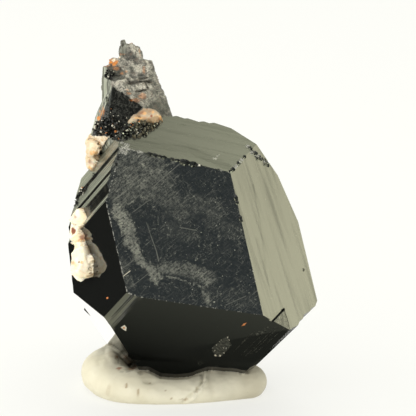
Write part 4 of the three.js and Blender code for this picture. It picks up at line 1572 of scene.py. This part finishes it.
# %% Cleavage
GRAINS = {  # middle from the tip and half sizes of each grain, in millimetres
    "feldspar_flank": [((-26.7, 9.9, -19.3), (2.2, 3.2, 2.9)), ((-25.3, 8.3, -18.9), (1.1, 1.4, 1.8)),
                       ((-27.5, 10.8, -20.8), (1.5, 2.8, 1.8)), ((-27.2, 11.8, -16.6), (1.3, 2.8, 1.6)),
                       ((-27.5, 12.2, -14.4), (1.6, 2.9, 1.6)), ((-27.3, 12.8, -11.9), (1.7, 2.9, 1.7))],
    "feldspar_shoulder": [((-24.3, 17.4, 0.5), (2, 3.2, 2)), ((-24.9, 18.6, -2.7), (1.4, 3, 2)),
                          ((-23.1, 16.9, -0.2), (1.5, 2.6, 1.8))],
    "feldspar_saddle": [((-14.4, 9.7, 7.9), (2.3, 1.9, 1.2)), ((-16.8, 9.2, 7.3), (1.7, 1.5, 1)),
                        ((-13, 10.4, 7.2), (1.5, 1.5, 1.1))],
}
CLEAVAGES = 14                          # planes for each grain


def cleave(made, grains, depth):
    """Presses each grain's skin against flat planes, as cleavage would cut it."""
    cut = []
    for middle, radii in grains:
        planes = []
        for _ in range(CLEAVAGES):
            way = Vector((draws.gauss(0, 1), draws.gauss(0, 1), draws.gauss(0, 1))).normalized()
            reach = Vector([a * b for a, b in zip(way, radii)]).length
            planes.append((way, reach * (1 + 0.12 - depth * draws.uniform(0.4, 1.6))))
        cut.append((TIP + Vector(middle), radii, planes))
    for vert in made.data.vertices:
        place = vert.co
        sized = [(Vector([a / b for a, b in zip(place - middle, radii)]).length, middle, planes)
                 for middle, radii, planes in cut]
        _, middle, planes = min(sized, key=lambda one: one[0])
        for way, reach in planes:
            beyond = (place - middle).dot(way) - reach
            if beyond > 0:
                place = place - way * beyond
        vert.co = place


print("each grain gets", CLEAVAGES, "planes")


# %% [markdown]
# ### Press the skin to the edges that are seen
# The solids are a little fuller or slimmer than the pieces in the picture. The edge is listed as spots, and
# what passes it is pressed back almost to it. A little is left over, so that the edge stays lively.

# %% Edges seen in the picture
FLANK_EDGE = [  # height in the picture, how far right it reaches there
    (200, 86), (208, 86), (215, 89), (228, 89), (240, 89), (246, 91), (252, 94), (258, 96), (264, 96),
    (270, 96), (278, 93), (284, 87),
]
SHOULDER_EDGE = [(130, 114), (136, 110.6), (140, 107.5), (144.8, 104), (151.7, 98.6), (162, 94.6),
                 (168, 91.8),
                 (177, 89.3), (182, 87)]
SADDLE_TOP = [  # from the left, and how high it reaches there
    (126, 124), (130, 119.5), (133.5, 114.6), (140.4, 110), (146, 108.2), (151, 108.8), (155.3, 110.4),
    (158.5, 113.4), (161, 117.3), (163, 123), (172, 124),
]
FLANK_SWELLS = [(84, 237, 7, 11, 3.5), (86, 218, 6, 9, 2)]     # place in the picture, radii, pixels
PRESSED = 0.85                          # the share of what passes an edge that is taken back


def level_between(spots, at):
    """The value at a place of a line through (place, value) spots."""
    for (a, low), (b, high) in zip(spots, spots[1:]):
        if a <= at <= b:
            return low + (high - low) * (at - a) / (b - a)
    return None


def press_right_side(made, edge):
    """Presses in what reaches further right in the picture than the edge does."""
    for vert in made.data.vertices:
        x, y = in_photo(vert.co)
        limit = level_between(edge, y)
        if limit is not None and x > limit:
            vert.co.x -= PRESSED * (x - limit) * PIXEL_AT_TIP


def swell(made, ovals):
    """Moves the skin to the right where the piece is fuller than its solid."""
    for vert in made.data.vertices:
        x, y = in_photo(vert.co)
        for bx, by, across, high, far in ovals:
            reach = math.hypot((x - bx) / across, (y - by) / high)
            vert.co.x += far * PIXEL_AT_TIP * max(0, 1 - reach * reach)


def press_top(made, edge):
    """Presses down what rises above the edge in the picture."""
    for vert in made.data.vertices:
        x, y = in_photo(vert.co)
        limit = level_between(edge, x)
        if limit is not None and y < limit:
            vert.co.z -= PRESSED * (limit - y) * PIXEL_AT_TIP


print("edges listed at", len(FLANK_EDGE + SHOULDER_EDGE + SADDLE_TOP), "spots")


# %% [markdown]
# ### The three pieces
# Each piece goes through the same steps: remesh, cleave, roughen, press, cling and paint. They differ in
# how deep the cleavage goes and how rough the skin is.

# %% The three pieces of feldspar
FELDSPAR_VOXEL = 0.15


def feldspar_piece(node, material, blots, depth, roughness, edge=(), reach=0.55, swells=(),
                   top=()):
    """Dresses one node of feldspar and hands it over."""
    made = remeshed(copy_of_node(node, node + "_grown", [material]), FELDSPAR_VOXEL)
    cleave(made, GRAINS[node], depth)
    made.data.update()
    moves = [vert.normal * roughness * (0.3 * step_noise(vert.co, 1.1, 5) + 0.1 * rough(vert.co, 0.9))
             for vert in made.data.vertices]
    for vert, move in zip(made.data.vertices, moves):
        vert.co += move
    swell(made, swells)
    press_right_side(made, edge)
    press_top(made, top)
    cling(made, reach)
    paint(made, blots, rust_and_shade_by_noise)
    smooth_shaded(made)
    to_metres(made)
    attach(made, "root")
    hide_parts(node)


feldspar_piece("feldspar_flank", feldspar, FLANK_BLOTS, 0.2, 0.55, FLANK_EDGE, 1.2, FLANK_SWELLS)
feldspar_piece("feldspar_shoulder", tan_grain, SHOULDER_BLOTS, 0.16, 1.2, SHOULDER_EDGE)
feldspar_piece("feldspar_saddle", stained, SADDLE_BLOTS, 0.1, 0.3, top=SADDLE_TOP)

# %% [markdown]
# ## The putty
# Collectors stand a crystal in kneadable putty. It is dull, takes the marks of fingers, folds where it was
# bent and picks up crumbs of the specimen. The solid is remeshed, and low waves, a fold and dents move its
# points. Its finish is a pale tone with faint prints, specks and stains, and painted shade next to the
# crystal and towards the right.

# %% Finish of the putty
putty_skin, tree, shader = finish("putty", (0.62, 0.58, 0.44), 0.6)
stain_and_shade = stored_parts(tree, "stains_and_shade")
axes = own_axes(tree, Matrix.Identity(3))
tint = cloud(tree, axes, 0.12, 4, 0.55)
speckle = cloud(tree, axes, 2.2, 3, 0.7)
prints = cloud(tree, own_axes(tree, about("Z", 20) @ about("X", 15), (7, 1, 1)), 1.1, 3, 0.5, 0.4)
color = blend_colors(tree, between(tree, tint, 0.35, 0.65), (0.74, 0.7, 0.545), (0.66, 0.61, 0.45))
color = blend_colors(tree, between(tree, speckle, 0.66, 0.78, 0, 0.4), color, (0.3, 0.26, 0.18))
color = blend_colors(tree, both(tree, stain_and_shade["Red"], 0.8), color, (0.36, 0.12, 0.04))
color = blend_colors(tree, both(tree, stain_and_shade["Green"], 0.7), color, (0.28, 0.17, 0.07))
# Painted shade: the stored blue darkens the putty next to the crystal and towards the right.
color = blend_colors(tree, both(tree, stain_and_shade["Blue"], 0.55), color, (0.19, 0.16, 0.095))
wire(tree, shader, Base_Color=color,
     Roughness=between(tree, speckle, 0.3, 0.7, 0.5, 0.72),
     Normal=relief(tree, mixed_heights(tree, prints, 0.5, speckle), 0.25, 0.25))
print("made", putty_skin.name)

# %% [markdown]
# ### Stains, dents and the fold
# The marks of the putty are listed where they are seen: rust and dirt rubbed off the specimen, painted shade
# on the slope next to the crystal, finger dents, the fold where two ends of the roll were pressed together,
# and the rim of the hollow under the crystal.

# %% Marks of the putty
PUTTY_BLOTS = [
    [(127, 355.5, 2.2, 4.2), (119, 368.5, 2.2, 1.1), (130.5, 361, 1.8, 2), (131, 369, 3, 1),
     (117.4, 357, 0.6, 1)],
    [(126, 386, 1, 2.6), (138.5, 393, 0.7, 4), (112, 343.5, 3, 1), (116, 357, 1.4, 2), (185, 399.5, 5, 0.7),
     (197, 389.5, 0.7, 3), (150, 383.6, 0.8, 0.6), (165, 391, 0.7, 0.7), (171, 398.5, 0.6, 0.9)],
    # painted shade on the slope next to the crystal
    [(129, 365, 5, 7), (124, 362, 4, 5), (140, 373, 3, 2), (118, 361, 0.8, 3), (122, 372, 1.4, 0.8)],
]
RIM = [(136, 366), (148, 372.5), (161, 379), (175, 380), (188, 379), (204, 373.4), (225, 370), (250, 367.5)]
DENTS = [  # place in the picture, radii in pixels, depth; those below nothing are swellings
    (150, 382, 8, 3, 0.3), (113, 353, 8, 11, -0.5), (108, 362, 9, 9, -0.2), (232, 388, 12, 8, 0.2),
    (171, 392, 9, 6, 0.12), (213, 390, 4, 8, 0.25),
]
FOLD = [(203, 372), (202.5, 381), (198, 388.5), (191.5, 395), (181, 403.5)]
print(len(DENTS), "dents and a fold of", len(FOLD) - 1, "stretches listed")


# %% [markdown]
# ### Soften the roll
# Putty has no sharp edges, so a Smooth modifier goes over all of it. The bend that meets the crystal at the
# back is softened far more.

# %% Soften the putty
PUTTY_VOXEL = 0.36
BEND_CORNER = (-6, -5, 1.2)             # left of, behind and above this, the roll bends round


def dirt_and_shade_of_putty(place, normal):
    """Dirt in cloudy spots, and painted shade that grows to the right."""
    grey = min(max((place.x - 1) / 14, 0), 0.75) * (1 + 0.4 * noise.noise(place * 0.4))
    return (0, min(max(5 * noise.noise(place * 0.3) - 2.4, 0), 0.25), grey)


putty = remeshed(copy_of_node("mounting_putty", "putty_roll", [putty_skin]), PUTTY_VOXEL)
inner_bend = putty.vertex_groups.new(name="inner_bend")
left, near, low = BEND_CORNER
for vert in putty.data.vertices:
    x, y, z = vert.co
    if x < left and y > near and z > low:
        inner_bend.add([vert.index], min(1, (left - x) / 3, (y - near) / 3, z - low), "ADD")
for group, iterations in (("", 10), ("inner_bend", 60)):
    smooth = putty.modifiers.new("smooth", "SMOOTH")
    smooth.iterations = iterations
    smooth.vertex_group = group
applied(putty)
print("putty softened:", len(putty.data.vertices), "points")

# %% [markdown]
# ### Press the marks in
# Now each point moves along its own direction by the sum of low waves, dents and the fold. Points that
# nearly touch the table stay, so that the putty still lies flat. At last the hollow under the crystal is
# pressed down, and what touches the crystal clings to it.

# %% The putty's skin
HOLLOW_BACK = 6                         # the hollow under the crystal ends here
HOLLOW_DEPTH = 0.22                     # millimetres for each pixel behind the rim
moves = []
for vert in putty.data.vertices:
    place = vert.co
    height = 0.3 * rough(place, 7) + 0.05 * rough(place, 1.6)
    if (eye - place).dot(vert.normal) > 0:
        x, y = in_photo(place)
        for bx, by, across, high, depth in DENTS:
            reach = math.hypot((x - bx) / across, (y - by) / high)
            height -= depth * max(0, 1 - reach * reach)
        for start, end in zip(FOLD, FOLD[1:]):
            apart = near_line(start, end, x, y)
            side = 1 if (end[1] - start[1]) * (x - start[0]) > (end[0] - start[0]) * (y - start[1]) else 0.3
            height += 0.3 * side * max(0, 1 - abs(apart - 3.4) / 3) - 0.35 * max(0, 1 - apart / 1.6)
    moves.append(vert.normal * height)
for vert, move in zip(putty.data.vertices, moves):
    vert.co += move * min(1, max(0, vert.co.z / 0.8))
    x, y = in_photo(vert.co)
    rim = level_between(RIM, x)
    if rim is not None and vert.co.y < HOLLOW_BACK and y < rim:
        vert.co.z -= HOLLOW_DEPTH * (rim - y)
    vert.co.z = max(vert.co.z, 0)
cling(putty, 0.5, 0.2)
paint(putty, PUTTY_BLOTS, dirt_and_shade_of_putty)
smooth_shaded(putty)
to_metres(putty)
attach(putty, "root")
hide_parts("mounting_putty")

# %% [markdown]
# ## Floor and light
# The room is a light tent: soft light from all sides, a little more from the left and from above. Black
# glassy faces show what they mirror instead. So cards stand where each face sees them: glowing ones above
# and at the right for the two bright faces, dark ones for the faces that stay black. The cards are seen
# only in reflections and light nothing else. First comes the floor, a grey sheet that glows a little,
# because a lit one would be brighter near the lamps.

# %% Floor
floor_finish, tree, shader = finish("floor", (0.27, 0.27, 0.262), 1, Specular_IOR_Level=0)
shader.inputs["Emission Color"].default_value = (1, 1, 0.95, 1)
shader.inputs["Emission Strength"].default_value = 0.655
bm = bmesh.new()
bmesh.ops.create_grid(bm, x_segments=1, y_segments=1, size=4)


def stage_mesh(name, bm, material):
    """A mesh of the stage, which isn't part of the object."""
    made = bpy.data.objects.new(name, bpy.data.meshes.new(name))
    bm.to_mesh(made.data)
    bm.free()
    made.data.materials.append(material)
    bpy.context.scene.collection.objects.link(made)
    return made


stage_mesh("floor", bm, floor_finish)
print("floor laid")

# %% [markdown]
# ### Lamps
# A small lamp would draw hard shadows and a bright spot on each glassy face. These are large squares near
# the object, and glossy rays don't see them: they only light the feldspar, the putty and the crust.

# %% Soft lamps
LAMPS = [  # name, azimuth from behind towards the right, elevation, distance, width, watts
    ("above", 10, 78, 0.6, 0.6, 0.8), ("left", -104, 16, 0.5, 0.4, 0.6),
    ("front_low", -165, 18, 0.5, 0.3, 0.8),
    ("left_back", -68, 13, 0.5, 0.4, 0.6), ("low_right", 100, 22, 0.5, 0.3, 0.1),
]


def away_from_tip(azimuth, elevation):
    """The direction from the crystal's tip to a lamp or a card."""
    turn, rise = math.radians(azimuth), math.radians(elevation)
    return Vector((math.sin(turn) * math.cos(rise), math.cos(turn) * math.cos(rise), math.sin(rise)))


for name, azimuth, elevation, distance, width, watts in LAMPS:
    lamp = bpy.data.lights.new(name, "AREA")
    lamp.shape = "SQUARE"
    lamp.size = width
    lamp.energy = watts
    way = away_from_tip(azimuth, elevation)
    made = bpy.data.objects.new(name, lamp)
    made.location = TIP * MM + way * distance
    made.rotation_euler = way.to_track_quat("Z", "Y").to_euler()
    made.visible_glossy = False
    bpy.context.scene.collection.objects.link(made)
print(len(LAMPS), "lamps")


# %% [markdown]
# ### Cards that only reflections see
# A card is a sheet whose glow may change along one axis, because a real sheet is brighter near its lamp.
# The visibility switches keep it out of every ray but the glossy ones.

# %% Tools for cards
def glow(name, color, slope=0, axis=0, middle=0):
    """An emission whose strength changes along one axis."""
    material = bpy.data.materials.new(name)
    material.use_nodes = True
    tree = material.node_tree
    tree.nodes.remove(tree.nodes["Principled BSDF"])
    light = add(tree, "ShaderNodeEmission", {"Color": (*color, 1), "Strength": 1})
    if slope:
        place = add(tree, "ShaderNodeTexCoord").outputs["Object"]
        part = add(tree, "ShaderNodeSeparateXYZ", {"Vector": place}).outputs[axis]
        offset = maths(tree, "SUBTRACT", part, middle)
        share = maths(tree, "ADD", both(tree, offset, slope / MM / max(color)), 1)
        tree.links.new(maths(tree, "MAXIMUM", share, 0), light.inputs["Strength"])
    tree.links.new(light.outputs[0], tree.nodes["Material Output"].inputs["Surface"])
    return material


def card(name, bm, color, slope=0, axis=0, middle=0):
    """A glowing sheet that only glossy rays see."""
    made = stage_mesh(name, bm, glow(name, color, slope, axis, middle))
    made.visible_camera = False
    made.visible_diffuse = False
    made.visible_shadow = False
    made.visible_transmission = False


print("tools for cards are ready")

# %% [markdown]
# ### Standing cards
# The top face mirrors the sheet above it and the right face the one at the right. The front face and the
# left side mirror dark sheets. Each card's place is a direction and a distance from the crystal's tip.

# %% Standing cards
CARDS = [  # name, azimuth, elevation, distance, half size, glow, its slope per millimetre, along axis
    ("over", 33, 69, 0.45, 0.2, (2.36, 2.44, 1.68), 0.042, 0),
    ("right", 82, 11, 0.35, 0.1, (4.4, 4.3, 2.95), -0.02, 2),
    ("dark_front", -128, 30, 0.3, 0.15, (0.03, 0.03, 0.03), 0, 0),
    ("dark_left", -72, -6, 0.25, 0.045, (0.04, 0.045, 0.035), 0, 0),
]
for name, azimuth, elevation, distance, half, color, slope, axis in CARDS:
    way = away_from_tip(azimuth, elevation)
    middle = TIP * MM + way * distance
    bm = bmesh.new()
    spread = bmesh.ops.create_grid(bm, x_segments=1, y_segments=1, size=half)["verts"]
    move = Matrix.Translation(middle) @ (-way).to_track_quat("Z", "Y").to_matrix().to_4x4()
    bmesh.ops.transform(bm, matrix=move, verts=spread)
    card("card_" + name, bm, color, slope, axis, middle[axis])
print(len(CARDS), "standing cards")

# %% [markdown]
# ### Cards on the ground, and a screen
# Faces that look down mirror the ground: bright behind the specimen, dark under it. These cards lie just over
# the floor and stand in for it in reflections: glowing ones for the lit ground, and a painted shadow under
# the crystal. A dark screen stands between the polished left face and the bright ground, so the upper part of
# that face stays black.

# %% Cards on the ground, and a screen
FLAT_CARDS = [  # name, corners, height, glow, its slope per millimetre, where along y it is meant
    ("under", [(-14.6, -26), (34, -26), (34, 0), (-16, 0)], 7, (0.105, 0.11, 0.085), -0.011, -13),
    ("left_foot", [(-44, -26), (-15.5, -26), (-16.5, 4), (-44, 4)], 7, (0.86, 0.87, 0.62), 0, 0),
    ("before_screen", [(-74, 2), (-45, 32), (-28, 14), (-57, -16)], 1, (0.02, 0.02, 0.02), 0, 0),
    ("behind", [(-60, 33), (-10, 18), (-10, 66), (-60, 66)], 0.4, (1.72, 1.7, 1.6), 0, 0),
    ("far_behind", [(-420, 67), (-10, 67), (-10, 700), (-420, 700)], 0.4, (0.6, 0.62, 0.45), 0, 0),
]
SCREEN_FOOT = [(-74, 2), (-45, 32)]
SCREEN_CLEAR = 0.5                      # millimetres over the floor
SCREEN_HEIGHT = 34
for name, corners, height, color, slope, middle in FLAT_CARDS:
    bm = bmesh.new()
    bmesh.ops.contextual_create(bm, geom=[bm.verts.new((x * MM, y * MM, height * MM)) for x, y in corners])
    card("card_" + name, bm, color, slope, 1, middle * MM)
bm = bmesh.new()
rim = bm.edges.new([bm.verts.new((x * MM, y * MM, SCREEN_CLEAR * MM)) for x, y in SCREEN_FOOT])
risen = bmesh.ops.extrude_edge_only(bm, edges=[rim])["geom"]
bmesh.ops.translate(bm, vec=(0, 0, SCREEN_HEIGHT * MM), verts=verts_among(risen))
card("dark_screen", bm, (0.02, 0.02, 0.02))
print(len(FLAT_CARDS), "cards on the ground and a screen")

# %% [markdown]
# ### A card close under the crystal
# Where the underside nearly touches the putty, it mirrors the dark gap between them. A small card follows
# that border, just off the face. It is a painted shadow: a dark sheet that stands in for the shade of the gap
# in the reflection.

# %% Card close under the crystal
CLOSE_SPOTS = [(126, 372), (137, 364), (160, 357), (200, 349), (240, 341), (286, 333), (290, 345), (255, 373),
               (200, 383), (160, 383), (132, 376)]
CLOSE_GAP = 0.6                         # millimetres off the face
_, under_way = plane_of("underside")
close = [on_face("underside", *spot) + under_way * CLOSE_GAP for spot in CLOSE_SPOTS]
bm = bmesh.new()
bmesh.ops.contextual_create(bm, geom=[bm.verts.new(point * MM) for point in close])
card("card_close", bm, (0.03, 0.032, 0.025), -0.0018, 1, -7 * MM)
print("card of", len(close), "corners under the crystal")

# %% [markdown]
# ### The tent
# The world is the tent. Dull things should get much soft light, but a black face that mirrored all of it
# would look grey. The Light Path node tells glossy rays from the others, so they see a darker tent.

# %% The tent around
AROUND = (0.265, 0.3, 0.27)             # what glossy faces mirror where there is no card
SOFT_LIGHT = (1, 1, 0.97)
world = bpy.data.worlds.new("tent")
bpy.context.scene.world = world
world.use_nodes = True
tree = world.node_tree
soft = tree.nodes["Background"]
soft.inputs["Color"].default_value = (*SOFT_LIGHT, 1)
around = add(tree, "ShaderNodeBackground", {"Color": (*AROUND, 1)})
mirrored = add(tree, "ShaderNodeLightPath").outputs["Is Glossy Ray"]
mix = add(tree, "ShaderNodeMixShader", {0: mirrored, 1: soft.outputs[0], 2: around.outputs[0]})
tree.links.new(mix.outputs[0], tree.nodes["World Output"].inputs["Surface"])
bpy.context.scene.view_settings.view_transform = "Standard"
print("tent hung")
